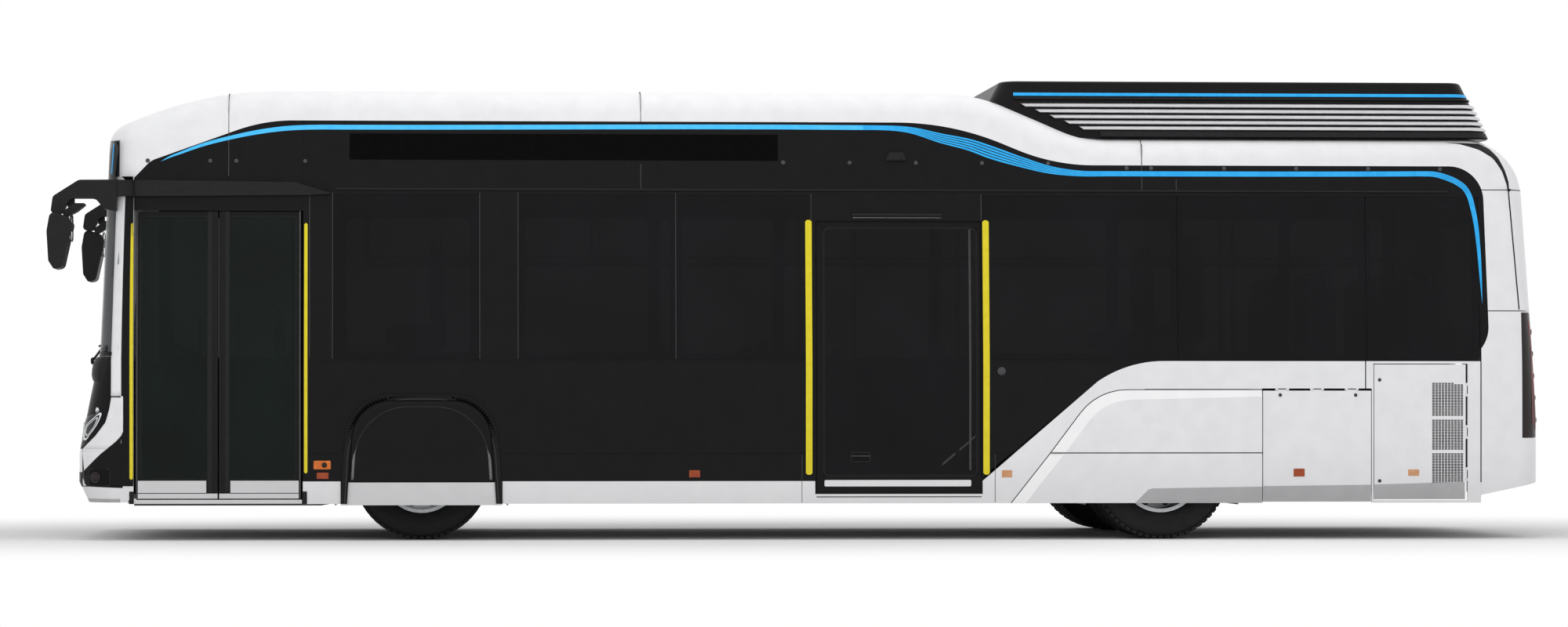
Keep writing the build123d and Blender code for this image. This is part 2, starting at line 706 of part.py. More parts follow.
with BuildPart() as skirt_panels:
    for side in (-1, 1):
        front = X_DOOR1 if side < 0 else X_DOOR0
        back = X_MID0 if side < 0 else X_MID1 + SEAM
        for x0, x1 in ((front, X_FA - ARCH_HALF), (X_FA + ARCH_HALF, back - SEAM)):
            add(skin(window(x0, x1, SKIRT_Z, SKIRT_TOP_Z - PANEL_GAP), side, "outside", "pocket"))
    add(skin(window(X_MID0 - SEAM - 1, X_MID1 + SEAM, SKIRT_Z, FLOOR_Z - CLEAR), -1, "outside", "pocket"))
save(skirt_panels.part, "skirt_panels")

with BuildPart() as rear_quarter_panels:
    for side in (-1, 1):
        with BuildPart(mode=Mode.PRIVATE) as quarter:
            add(skin(QUARTER, side, "outside", "pocket"))
            add(slab(BLACK_SIDE, side), mode=Mode.SUBTRACT)
            hatch = window(HATCH_X[0], HATCH_X[1], SKIRT_Z - 1, HATCH_TOP_Z + EDGE_GAP)
            vent = window(
                VENT_DOOR_X[0] - CLEAR, VENT_DOOR_X[1] + 2 * EDGE_GAP,
                VENT_DOOR_Z[0] - CLEAR, VENT_DOOR_Z[1] + CLEAR,
            )
            add(slab(hatch, side), mode=Mode.SUBTRACT)
            add(slab(vent, side), mode=Mode.SUBTRACT)
            add(lugs(*hatch_axis(side), (0, 0, 1)))
            add(lugs(*vent_axis(side), (1, 0, 0)))
        add(quarter.part)
save(rear_quarter_panels.part, "rear_quarter_panels")

for side, name in ((-1, "left"), (1, "right")):
    with BuildPart() as battery_hatch:
        face = window(HATCH_X[0] + CLEAR, HATCH_X[1] - CLEAR, SKIRT_Z + 8, HATCH_TOP_Z - EDGE_GAP)
        add(skin(face, side, "outside", "hatch"))
        add(barrels(*hatch_axis(side), (0, 0, -1)))
    save(battery_hatch.part, f"{name}_battery_hatch")

    with BuildPart() as vent_door:
        add(skin(window(*VENT_DOOR_X, *VENT_DOOR_Z), side, "outside", "hatch"))
        add(barrels(*vent_axis(side), (-1, 0, 0)))
    save(vent_door.part, f"{name}_vent_door")


# ---------------------------------------------------------------- front wheel covers
COVER_BULGE = 55
COVER_WALL = 10
COVER_ROUND = 45


def pillow(shrink, y_out, rounding, side):
    """Rounded block on the arch outline, from inside the wall out to y_out."""
    with BuildPart() as body:
        with BuildSketch(Plane.XZ.offset(-side * (HALF - WALL))):
            add(arch(shrink))
        extrude(amount=-side * (y_out - HALF + WALL))
        face = body.faces().sort_by(Axis.Y)[-1 if side > 0 else 0]
        rim = [e for e in face.edges() if e.center().Z > SKIRT_Z]
        fillet(rim, rounding)
    return body.part


with BuildPart() as front_wheel_covers:
    for side in (-1, 1):
        with BuildPart(mode=Mode.PRIVATE) as trim:
            add(slab(arch(PANEL_GAP), side))
            add(slab(arch(TRIM_WIDTH), side), mode=Mode.SUBTRACT)
            block((X_FA - 700, X_FA + 700), span(side * (HALF - WALL), side * (HALF + 14)), (SKIRT_Z - 10, 1200),
                  Mode.INTERSECT)
        add(trim.part)
        with BuildPart(mode=Mode.PRIVATE) as cover:
            add(pillow(TRIM_WIDTH, HALF + COVER_BULGE, COVER_ROUND, side))
            add(pillow(TRIM_WIDTH + COVER_WALL, HALF + COVER_BULGE - COVER_WALL, COVER_ROUND - COVER_WALL, side),
                mode=Mode.SUBTRACT)
            block((X_FA - 700, X_FA + 700), span(side * (HALF - WALL - 1), side * (HALF + 99)), (0, SKIRT_Z - 8),
                  Mode.SUBTRACT)
        add(cover.part)
save(front_wheel_covers.part, "front_wheel_covers")

# ---------------------------------------------------------------- wheel boxes and floor
BOX_WALL = 8
FRONT_BOX = (X_FA - 620, X_FA + 620, 545, 1093)      # x0, x1, inner y, top z
REAR_BOX = (X_RA - 560, X_RA + 560, 560, 1093)
BOX_SIDE_Y = HALF - WALL - 1

with BuildPart() as wheel_boxes:
    for side in (-1, 1):
        for (x0, x1, y, z), reach in ((FRONT_BOX, BOX_SIDE_Y), (REAR_BOX, BOX_SIDE_Y - 12)):
            foot = ENTRANCE_Z - FLOOR_THICK
            with BuildPart(mode=Mode.PRIVATE) as box:
                block((x0, x1), span(side * y, side * reach), (foot, z))
                inner = span(side * (y + BOX_WALL), side * (reach + 1))
                block((x0 + BOX_WALL, x1 - BOX_WALL), inner, (foot - 1, z - BOX_WALL), Mode.SUBTRACT)
                if x0 > X_FA + 1000:
                    rod((X_RA, side * 500, TYRE_R), (X_RA, side * 700, TYRE_R), 60, Mode.SUBTRACT)
            add(box.part)
save(wheel_boxes.part, "wheel_boxes")

STEP_X = X_RA - 860
STEP_TREAD = 300
RAMP_X = (X_DOOR1 + 130, X_DOOR1 + 380)
PLATFORM = ((X_DOOR0 + 5, RAMP_X[0] - 5), (260, HALF - 55), (ENTRANCE_Z, 600))

RISE = (REAR_FLOOR_Z - FLOOR_Z) / 2
DOOR_POCKET = ((X_MID0 - 30, X_MID1 + MID_DOOR_TRAVEL + 40), (-HALF, -(HALF - 60)), (0, 2000))


def floor_board(corners):
    """One straight board of the floor from its side outline, cut round wheels and door."""
    with BuildPart() as board:
        with BuildSketch(Plane.XZ):
            with BuildLine():
                Polyline(*corners, close=True)
            make_face()
        extrude(amount=HALF - WALL - 1, both=True)
        for side in (-1, 1):
            for x0, x1, y, _ in (FRONT_BOX, REAR_BOX):
                block((x0, x1), span(side * y, side * HALF), (0, 2000), Mode.SUBTRACT)
        block(*DOOR_POCKET, Mode.SUBTRACT)
    return board.part


def flat_board(x0, x1, z0, z1):
    return floor_board([(x0, z0), (x1, z0), (x1, z1), (x0, z1)])


with BuildPart() as floor_deck:
    under = FLOOR_Z - FLOOR_THICK
    tread_z = FLOOR_Z + RISE
    back = STEP_X + STEP_TREAD + FLOOR_THICK
    add(flat_board(X_DOOR0, RAMP_X[0], ENTRANCE_Z - FLOOR_THICK, ENTRANCE_Z))
    add(floor_board([
        (RAMP_X[0] + PANEL_GAP, ENTRANCE_Z - FLOOR_THICK), (RAMP_X[1], under),
        (RAMP_X[1], FLOOR_Z), (RAMP_X[0] + PANEL_GAP, ENTRANCE_Z),
    ]))
    add(flat_board(RAMP_X[1] + PANEL_GAP, STEP_X, under, FLOOR_Z))
    add(flat_board(STEP_X + PANEL_GAP, STEP_X + FLOOR_THICK, under, tread_z))
    add(flat_board(STEP_X + FLOOR_THICK + PANEL_GAP, back, tread_z - FLOOR_THICK, tread_z))
    add(flat_board(back - FLOOR_THICK, back, tread_z + PANEL_GAP, REAR_FLOOR_Z))
    add(flat_board(back + PANEL_GAP, X_REAR - 330, REAR_FLOOR_Z - FLOOR_THICK, REAR_FLOOR_Z))
    block(PLATFORM[0], PLATFORM[1], (ENTRANCE_Z + PANEL_GAP, PLATFORM[2][1]))
save(floor_deck.part, "floor_deck")

# ---------------------------------------------------------------- chassis
LOW_RAIL_Z = (245, 295)
HIGH_RAIL_Z = (600, REAR_FLOOR_Z - FLOOR_THICK)
RAIL_Y = (400, 470)
BEAM_Z = (165, 245)
REAR_TOW_Z = 360

with BuildPart() as chassis_frame:
    for side in (-1, 1):
        y = span(side * RAIL_Y[0], side * RAIL_Y[1])
        block((RAMP_X[1] + 20, STEP_X), y, LOW_RAIL_Z)
        block((STEP_X - 80, STEP_X), y, (LOW_RAIL_Z[0], FLOOR_Z - FLOOR_THICK))
        block((STEP_X + FLOOR_THICK + 2, STEP_X + 140), y, (LOW_RAIL_Z[0], FLOOR_Z + RISE - FLOOR_THICK))
        block((STEP_X - 80, STEP_X + 140), y, (LOW_RAIL_Z[0], LOW_RAIL_Z[1]))
        block((STEP_X + 60, STEP_X + 420), y, (HIGH_RAIL_Z[0] - 120, FLOOR_Z + RISE - FLOOR_THICK))
        block((STEP_X + 345, STEP_X + 420), y, (HIGH_RAIL_Z[0] - 120, HIGH_RAIL_Z[1]))
        block((STEP_X + STEP_TREAD + FLOOR_THICK, X_REAR - 100), y, HIGH_RAIL_Z)
    for x in (X_FA - 60, X_FA + 900, X_FA + 1900, X_FA + 2900, X_FA + 3900):
        block((x, x + 60), (-RAIL_Y[0], RAIL_Y[0]), LOW_RAIL_Z)
    for x in (X_RA - 400, X_RA + 600, X_RA + 2450):
        block((x, x + 60), (-RAIL_Y[0], RAIL_Y[0]), (HIGH_RAIL_Z[1] - 100, HIGH_RAIL_Z[1]))
    block((X_REAR - 160, X_REAR - 100), (-RAIL_Y[1], RAIL_Y[1]), (REAR_TOW_Z + 50, HIGH_RAIL_Z[0]))
    block((X_REAR - 160, X_REAR - 100), (-60, 60), (REAR_TOW_Z - 50, HIGH_RAIL_Z[0]))
    rod((X_REAR - 101, 0, REAR_TOW_Z), (X_REAR - 75, 0, REAR_TOW_Z), 45)
    rod((X_REAR - 161, 0, REAR_TOW_Z), (X_REAR - 60, 0, REAR_TOW_Z), TOW_R, Mode.SUBTRACT)
save(chassis_frame.part, "chassis_frame")

with BuildPart() as drive_unit:
    block((X_RA + 680, X_RA + 2000), (-RAIL_Y[0], RAIL_Y[0]), (420, HIGH_RAIL_Z[1]))
save(drive_unit.part, "drive_unit")

# ---------------------------------------------------------------- axles, knuckles, wheels
AXLE_Z = TYRE_R
FRONT_WHEEL_Y = FRONT_TRACK / 2
KINGPIN_Y = FRONT_WHEEL_Y - KINGPIN_OFFSET
KINGPIN_R = 20
EYE_R = 45
EYE_HALF = 60
STUB_R = 30
REAR_STUB_R = 45
RIM_FACE = 62               # wheel disc outside the tyre's middle plane
DISC_THICK = 12


with BuildPart() as front_axle:
    block((X_FA - 40, X_FA + 40), (135 - KINGPIN_Y, KINGPIN_Y - 135), BEAM_Z)
    for side in (-1, 1):
        with BuildPart(mode=Mode.PRIVATE) as arm:
            with BuildSketch(Plane.YZ.offset(X_FA - 40)):
                with BuildLine():
                    Polyline(
                        (side * (KINGPIN_Y - 185), BEAM_Z[0]),
                        (side * (KINGPIN_Y - 125), BEAM_Z[0]),
                        (side * (KINGPIN_Y - 60), AXLE_Z - EYE_HALF),
                        (side * KINGPIN_Y, AXLE_Z - EYE_HALF),
                        (side * KINGPIN_Y, AXLE_Z + EYE_HALF),
                        (side * (KINGPIN_Y - 60), AXLE_Z + 30),
                        (side * (KINGPIN_Y - 185), BEAM_Z[1]),
                        close=True,
                    )
                make_face()
            extrude(amount=80)
        add(arm.part)
        rod((X_FA, side * KINGPIN_Y, AXLE_Z - EYE_HALF), (X_FA, side * KINGPIN_Y, AXLE_Z + EYE_HALF), EYE_R)
        low_end = (X_FA, side * KINGPIN_Y, AXLE_Z - EYE_HALF - 1)
        rod(low_end, (X_FA, side * KINGPIN_Y, AXLE_Z + EYE_HALF + 1), KINGPIN_R + SEAT_GAP, Mode.SUBTRACT)
save(front_axle.part, "front_axle")

for side, name in ((-1, "left"), (1, "right")):
    with BuildPart() as knuckle:
        y = side * KINGPIN_Y
        out = side * (KINGPIN_Y + EYE_R + 8)
        fork = EYE_HALF + SEAT_GAP
        rod((X_FA, y, AXLE_Z - fork - 26), (X_FA, y, AXLE_Z + fork + 26), KINGPIN_R)
        for z0, z1 in ((AXLE_Z + fork, AXLE_Z + fork + 24), (AXLE_Z - fork - 24, AXLE_Z - fork)):
            rod((X_FA, y, z0), (X_FA, y, z1), 38)
            block((X_FA - 38, X_FA + 38), span(y, out + side * 20), (z0, z1))
        block((X_FA - 38, X_FA + 38), span(out, out + side * 20), (AXLE_Z - fork - 24, AXLE_Z + fork + 24))
        rod((X_FA, out, AXLE_Z), (X_FA, side * (FRONT_WHEEL_Y + RIM_FACE + 20), AXLE_Z), STUB_R)
    save(knuckle.part, f"{name}_knuckle")

with BuildPart() as rear_axle:
    rod((X_RA, -(TWIN_OUTER_Y + 20), AXLE_Z), (X_RA, TWIN_OUTER_Y + 20, AXLE_Z), REAR_STUB_R)
    rod((X_RA, -540, AXLE_Z), (X_RA, 540, AXLE_Z), 75)
    with Locations((X_RA, 0, AXLE_Z)):
        Sphere(190)
    for side in (-1, 1):
        y = span(side * RAIL_Y[0], side * RAIL_Y[1])
        block((X_RA - 60, X_RA + 60), y, (AXLE_Z, HIGH_RAIL_Z[0]))
save(rear_axle.part, "rear_axle")


def tyre(x, y):
    """Tyre with rounded shoulders, turned about its axle."""
    half = TYRE_WIDTH / 2
    seat = RIM_R - 12 + SEAT_GAP
    wall = TYRE_R - RIM_R
    profile = [
        (seat, half * 0.74), (RIM_R + 2, half * 0.74), (RIM_R + wall * 0.13, half * 0.92),
        (RIM_R + wall * 0.44, half), (TYRE_R - wall * 0.29, half * 0.97), (TYRE_R - wall * 0.08, half * 0.86),
        (TYRE_R, half * 0.7),
    ]
    with BuildPart() as body:
        with BuildSketch(Plane((x, y, AXLE_Z), x_dir=(1, 0, 0), z_dir=(0, 0, 1)).rotated((0, 0, 0))):
            with BuildLine():
                Polyline(*profile, *[(r, -w) for r, w in reversed(profile)], close=True)
            make_face()
        revolve(axis=Axis((x, y, AXLE_Z), (0, 1, 0)))
    return body.part


def rim(x, y, side, bore, dish=RIM_FACE):
    """Wheel rim and disc; dish is the disc's place outside the middle plane."""
    half = TYRE_WIDTH / 2 * 0.74
    barrel = RIM_R - 12
    with BuildPart() as body:
        with BuildSketch(Plane((x, y, AXLE_Z), x_dir=(1, 0, 0), z_dir=(0, 0, 1))):
            with BuildLine():
                Polyline(
                    (barrel - 14, -half - 10), (RIM_R, -half - 10), (RIM_R, -half - 1), (barrel, -half - 1),
                    (barrel, half + 1), (RIM_R, half + 1), (RIM_R, half + 10), (barrel - 14, half + 10),
                    close=True,
                )
            make_face()
        revolve(axis=Axis((x, y, AXLE_Z), (0, 1, 0)))
        face = y + side * dish
        rod((x, face - DISC_THICK / 2, AXLE_Z), (x, face + DISC_THICK / 2, AXLE_Z), barrel - 6)
        rod((x, face - 30, AXLE_Z), (x, face + 30, AXLE_Z), HUB_R)
        for k in range(10):
            turn = radians(36 * k)
            hole = (x + 205 * cos(turn), AXLE_Z + 205 * sin(turn))
            rod((hole[0], face - 20, hole[1]), (hole[0], face + 20, hole[1]), 24, Mode.SUBTRACT)
        rod((x, y - 200, AXLE_Z), (x, y + 200, AXLE_Z), bore, Mode.SUBTRACT)
    return body.part


for side, name in ((-1, "left"), (1, "right")):
    y = side * FRONT_WHEEL_Y
    save(tyre(X_FA, y), f"front_{name}_tyre")
    save(rim(X_FA, y, side, STUB_R + SEAT_GAP), f"front_{name}_rim")
    with BuildPart() as twin_tyres:
        for place in (TWIN_OUTER_Y, TWIN_OUTER_Y - TWIN_SPACING):
            add(tyre(X_RA, side * place))
    save(twin_tyres.part, f"rear_{name}_tyres")
    with BuildPart() as twin_rims:
        middle = TWIN_OUTER_Y - TWIN_SPACING / 2
        outer_dish = middle + DISC_THICK / 2 - TWIN_OUTER_Y
        inner_dish = middle - DISC_THICK / 2 - TWIN_OUTER_Y + TWIN_SPACING
        add(rim(X_RA, side * TWIN_OUTER_Y, side, REAR_STUB_R + SEAT_GAP, -80))
        add(rim(X_RA, side * (TWIN_OUTER_Y - TWIN_SPACING), side, REAR_STUB_R + SEAT_GAP, 80))
        rod((X_RA, side * (middle - 80), AXLE_Z), (X_RA, side * (middle + 80), AXLE_Z), 150)
        rod((X_RA, side * 500, AXLE_Z), (X_RA, side * 1200, AXLE_Z), REAR_STUB_R + SEAT_GAP, Mode.SUBTRACT)
    save(twin_rims.part, f"rear_{name}_rims")

# ---------------------------------------------------------------- front door
def side_profile(depth, thick):
    """Cross-section of an upright panel that follows the left side, at a depth in from it."""
    with BuildSketch(Plane.YZ) as section:
        with BuildLine():
            lean = (ROOF_Z - WAIST_Z) * tan(radians(LEAN_DEG))
            y = -(HALF - depth)
            outer = FilletPolyline((y, 0), (y, WAIST_Z), (y + lean, ROOF_Z), radius=4000 - depth)
            inner = FilletPolyline(
                (y + thick, 0), (y + thick, WAIST_Z), (y + thick + lean, ROOF_Z), radius=4000 - depth - thick
            )
            Line((y, 0), (y + thick, 0))
            Line((y + lean, ROOF_Z), (y + thick + lean, ROOF_Z))
        make_face()
    return section.sketch


def leaf_panel(depth, thick, x0, x1, z0, z1, radius=0):
    """Straight length of side profile cut to an upright rectangle."""
    with BuildPart() as piece:
        extrude(side_profile(depth, thick), amount=FAR, both=True)
        add(slab(window(x0, x1, z0, z1, radius), -1), mode=Mode.INTERSECT)
    return piece.part


def leaf_frame(depth, x0, x1, z0, z1, border):
    """Door leaf with its glass opening cut and a rebate for the pane on the outside."""
    with BuildPart() as piece:
        add(leaf_panel(depth, LEAF_THICK, x0, x1, z0, z1))
        hole = (x0 + border, x1 - border, z0 + border + 70, z1 - border)
        add(leaf_panel(depth - 1, LEAF_THICK + 2, *hole, 20), mode=Mode.SUBTRACT)
        seat = (hole[0] - 14, hole[1] + 14, hole[2] - 14, hole[3] + 14)
        add(leaf_panel(depth - 1, GLASS + 1 + SEAT_GAP, *seat, 20), mode=Mode.SUBTRACT)
    return piece.part


def leaf_glass(depth, x0, x1, z0, z1, border):
    grow = 14 - SEAM / 2
    hole = (x0 + border - grow, x1 - border + grow, z0 + border + 70 - grow, z1 - border + grow)
    return leaf_panel(depth, GLASS, *hole, 18)


DOOR_MIDDLE = (X_DOOR0 + X_DOOR1) / 2
FRONT_LEAVES = [
    ("front", X_DOOR0, 1, X_DOOR0 + JAMB_GAP, DOOR_MIDDLE - CENTRE_GAP),
    ("rear", X_DOOR1, -1, DOOR_MIDDLE + CENTRE_GAP, X_DOOR1 - JAMB_GAP),
]
for name, jamb, sense, x0, x1 in FRONT_LEAVES:
    pivot = jamb + sense * PIVOT_INSET
    middle = pivot + sense * ARM_REACH
    with BuildPart() as leaf:
        add(leaf_frame(LEAF_DEPTH, x0, x1, LEAF_Z0, LEAF_TOP_Z, FRAME_WIDTH))
        rod((middle, PIVOT_Y, LEAF_TOP_Z - 20), (middle, PIVOT_Y, ARM_Z[1]), LEAF_PIN_R)
    save(leaf.part, f"front_door_{name}_leaf")
    save(leaf_glass(LEAF_DEPTH, x0, x1, LEAF_Z0, LEAF_TOP_Z, FRAME_WIDTH), f"front_door_{name}_glass")

    with BuildPart() as arm:
        block(span(pivot, middle), (PIVOT_Y - 10, PIVOT_Y + 10), ARM_Z)
        rod((pivot, PIVOT_Y, ARM_Z[0]), (pivot, PIVOT_Y, ARM_POCKET_Z[1] - SEAT_GAP), POST_R)
        rod((pivot, PIVOT_Y, ARM_Z[0]), (pivot, PIVOT_Y, ARM_POCKET_Z[1] + 12), POST_END_R)
        rod((middle, PIVOT_Y, ARM_Z[0]), (middle, PIVOT_Y, ARM_Z[1]), 12)
        rod((middle, PIVOT_Y, ARM_Z[0] - 1), (middle, PIVOT_Y, ARM_Z[1] + 1), LEAF_PIN_R + SEAT_GAP, Mode.SUBTRACT)
    save(arm.part, f"front_door_{name}_arm")

# ---------------------------------------------------------------- middle door
MID_LEAF = (X_MID0 + 6, X_MID1 + 20, FLOOR_Z + 1, MID_DOOR_TOP_Z + 2)
MID_DEPTH = 21
TONGUE_TOP_Z = MID_DOOR_TOP_Z + 36
RAIL_Z = (MID_DOOR_TOP_Z + 10, MID_DOOR_TOP_Z + 60)
RAIL_X = (X_MID0 - 10, X_MID1 + MID_DOOR_TRAVEL + 26)

with BuildPart() as mid_door_leaf:
    add(leaf_frame(MID_DEPTH, *MID_LEAF, 60))
    for x in (MID_LEAF[0] + 60, MID_LEAF[1] - 240):
        add(leaf_panel(MID_DEPTH + 10, 10, x, x + 180, MID_LEAF[3] - 5, TONGUE_TOP_Z))
save(mid_door_leaf.part, "mid_door_leaf")
save(leaf_glass(MID_DEPTH, *MID_LEAF, 60), "mid_door_glass")

with BuildPart() as door_gear:
    add(leaf_panel(MID_DEPTH, LEAF_THICK + 12, *RAIL_X, *RAIL_Z))
    add(leaf_panel(MID_DEPTH + 9.5, 11, RAIL_X[0] - 1, RAIL_X[1] + 1, RAIL_Z[0] - 1, TONGUE_TOP_Z + 2),
        mode=Mode.SUBTRACT)
    case_y = (-(HALF - 66), -(HALF - 330))
    with BuildPart(mode=Mode.PRIVATE) as case:
        block((X_MID0, X_MID1 + 200), (100 - HALF, case_y[1]), (RAIL_Z[1] - 20, CEILING_Z))
        add(leaf_panel(0, MID_DEPTH + LEAF_THICK + 12, X_MID0 - 1, X_MID1 + 300, RAIL_Z[0] - 1, 3000),
            mode=Mode.SUBTRACT)
    add(case.part)
    with BuildPart(mode=Mode.PRIVATE) as case:
        block((X_DOOR0 + 20, X_DOOR1 + 60), (-HALF, case_y[1]), HEADER_Z)
        add(BODY["trim"], mode=Mode.INTERSECT)
    add(case.part)
save(door_gear.part, "door_gear")

# ---------------------------------------------------------------- filler lid
with BuildPart() as right_side_wall:
    add(RIGHT_WALL)
    mouth_x = (FILLER_X[0] - EDGE_GAP, FILLER_X[1])
    block(mouth_x, (HALF - WALL - 1, HALF + 1), FILLER_Z, Mode.SUBTRACT)
    block((mouth_x[0] - 8, FILLER_X[1] + 8), (HALF - FILLER_DEPTH, HALF - WALL + 2), (FILLER_Z[0] - 8, FILLER_Z[1] + 8))
    block(mouth_x, (HALF - FILLER_DEPTH + 8, HALF + 1), FILLER_Z, Mode.SUBTRACT)
    add(lugs(*filler_axis(1), (-1, 0, 0), 2))
    port_x = (FILLER_X[0] + FILLER_X[1]) / 2
    port_z = (FILLER_Z[0] + FILLER_Z[1]) / 2
    rod((port_x, HALF - FILLER_DEPTH, port_z), (port_x, HALF - FILLER_DEPTH + 30, port_z), 32)
    port_end = (port_x, HALF - FILLER_DEPTH + 30 + RECEPTACLE_LONG, port_z)
    rod((port_x, HALF - FILLER_DEPTH, port_z), port_end, RECEPTACLE_R)
save(right_side_wall.part, "right_side_wall")

with BuildPart() as filler_lid:
    face = window(FILLER_X[0] + EDGE_GAP, FILLER_X[1] - CLEAR, FILLER_Z[0] + CLEAR, FILLER_Z[1] - CLEAR)
    add(skin(face, 1, "outside", "pocket"))
    add(barrels(*filler_axis(1), (1, 0, 0), 2))
save(filler_lid.part, "filler_lid")

# ---------------------------------------------------------------- mirrors
MIRROR_Y = (HALF - 115, HALF - 20)
HEAD_Y = (HALF - 90, HALF + 130)
X_TIP = X_FRONT - MIRROR_REACH


def upright(corners, y, side):
    """X-Z outline with rounded corners pushed out over a (low, high) pair of |y|."""
    with BuildPart() as body:
        with BuildSketch(Plane.XZ.offset(-side * y[0])):
            add(outline(*corners))
        extrude(amount=-side * (y[1] - y[0]))
    return body.part


with BuildPart() as mirrors:
    for side in (-1, 1):
        with BuildPart(mode=Mode.PRIVATE) as fairing:
            add(upright([
                (X_PILLAR - 20, 2455, 0), (X_DOOR1 + 40, 2468, 0), (X_DOOR1 + 215, 2478, 5),
                (X_DOOR1 - 60, 2560, 60), (X_PILLAR - 20, 2574, 0),
            ], (HALF - 140, HALF - 30), side))
            add(BODY["outside"], mode=Mode.SUBTRACT)
        add(fairing.part)
        with BuildPart(mode=Mode.PRIVATE) as arm:
            add(upright([
                (X_PILLAR - 19, 2574, 0), (X_FRONT + 12, 2572, 60), (X_TIP + 28, 2455, 40),
                (X_TIP + 10, 2330, 30), (X_TIP + 90, 2330, 20), (X_TIP + 150, 2440, 60),
                (X_FRONT + 130, 2440, 60), (X_FRONT + 190, 2365, 30), (X_PILLAR - 19, 2350, 0),
            ], MIRROR_Y, side))
            add(BODY["arm"], mode=Mode.SUBTRACT)
        add(arm.part)
        add(upright([
            (X_TIP + 25, 2345, 40), (X_TIP, 2200, 60), (X_TIP + 12, 1990, 40), (X_TIP + 50, 1930, 20),
            (X_TIP + 110, 1940, 40), (X_TIP + 178, 2250, 40), (X_TIP + 150, 2300, 20),
        ], HEAD_Y, side))
        add(upright([
            (X_TIP + 105, 2295, 15), (X_TIP + 200, 2345, 20), (X_TIP + 275, 2405, 10), (X_TIP + 180, 2405, 30),
            (X_TIP + 100, 2345, 15),
        ], (HALF - 110, HALF - 10), side))
        block((X_TIP + 130, X_TIP + 180), span(side * (HALF - 80), side * (HALF - 60)), (2380, 2445))
save(mirrors.part, "mirrors")

# ---------------------------------------------------------------- cabin
SEAT_DEEP = 430
SEAT_WIDE = 440
SEAT_HIGH = 420
BACK_HIGH = 540
HANDLE_HIGH = 190


def seat(x, y, floor, width=SEAT_WIDE):
    """Forward-facing seat on a plinth, with a grab frame on its back."""
    with BuildPart() as body:
        wide = (y - width / 2, y + width / 2)
        block((x + 60, x + SEAT_DEEP - 40), (wide[0] + 70, wide[1] - 70), (floor, floor + SEAT_HIGH - 90))
        block((x, x + SEAT_DEEP), wide, (floor + SEAT_HIGH - 90, floor + SEAT_HIGH))
        block((x + SEAT_DEEP - 70, x + SEAT_DEEP), wide, (floor + SEAT_HIGH, floor + SEAT_HIGH + BACK_HIGH))
        top = floor + SEAT_HIGH + BACK_HIGH
        bar_x = x + SEAT_DEEP - 30
        for edge_y in (wide[0] + 40, wide[1] - 40):
            rod((bar_x, edge_y, top - 40), (bar_x, edge_y, top + HANDLE_HIGH - 60), 12)
        rod((bar_x, wide[0] + 20, top + HANDLE_HIGH - 60), (bar_x, wide[1] - 20, top + HANDLE_HIGH - 60), 14)
    return body.part


LOW_SEATS = [-1090, -345, 430]              # ahead of the rear step, kerb side ends at the door
BOX_SEAT_X = X_FA - 260
OUTER_SEAT_Y = HALF - 315
INNER_SEAT_Y = OUTER_SEAT_Y - SEAT_WIDE - 40
BOX_SEAT_Y = HALF - 395
DRIVER_Y = HALF - 545
REAR_SEATS = [90, 850, 1610]                # behind the rear axle
with BuildPart() as seats:
    for side in (-1, 1):
        add(seat(BOX_SEAT_X, side * BOX_SEAT_Y, FRONT_BOX[3]))
        for x in LOW_SEATS if side > 0 else LOW_SEATS[:2]:
            add(seat(X_MID0 + x - 400 if side < 0 else X_MID0 + x + 395, side * OUTER_SEAT_Y, FLOOR_Z))
        for x in REAR_SEATS:
            if x > 600:
                add(seat(X_RA + x, side * OUTER_SEAT_Y, REAR_FLOOR_Z))
                add(seat(X_RA + x, side * INNER_SEAT_Y, REAR_FLOOR_Z))
        add(seat(X_RA - 100, side * BOX_SEAT_Y, REAR_BOX[3]))
    add(seat(X_DOOR0 + 560, DRIVER_Y, PLATFORM[2][1], 480))
save(seats.part, "seats")

WHEEL_X = X_DOOR0 + 250
WHEEL_HUB_Z = PLATFORM[2][1] + 780
with BuildPart() as dashboard:
    block((X_DOOR0 - 190, X_DOOR0 - 60), (165 - HALF, HALF - 105), (900, 1290))
    block((X_DOOR0 - 60, X_DOOR0 + 120), (60, HALF - 105), (PLATFORM[2][1], 1290))
    add(nose(40 + SEAT_GAP), mode=Mode.INTERSECT)
    block((X_DOOR0 - 61, X_DOOR0 + 120), (250, HALF - 105), (PLATFORM[2][1], 1290))
    block((X_DOOR0 - 190, X_DOOR0 - 60), (205 - HALF, HALF - 205), (ENTRANCE_Z + 60, 1290))
    rod((X_DOOR0 + 60, DRIVER_Y, 1150), (WHEEL_X, DRIVER_Y, WHEEL_HUB_Z - 32), 30)
save(dashboard.part, "dashboard")

with BuildPart() as steering_wheel:
    tilt = Plane((WHEEL_X, DRIVER_Y, WHEEL_HUB_Z), x_dir=(0, 1, 0), z_dir=(0.45, 0, 1))
    with Locations(tilt):
        Torus(225, 15)
        Cylinder(50, 40)
    for turn in (90, 210, 330):
        end = tilt.from_local_coords((222 * cos(radians(turn)), 222 * sin(radians(turn)), 0))
        rod((WHEEL_X, DRIVER_Y, WHEEL_HUB_Z), (end.X, end.Y, end.Z), 12)
    rod((X_DOOR0 + 60, DRIVER_Y, 1150), (WHEEL_X, DRIVER_Y, WHEEL_HUB_Z - 32), 30, Mode.SUBTRACT)
save(steering_wheel.part, "steering_wheel")

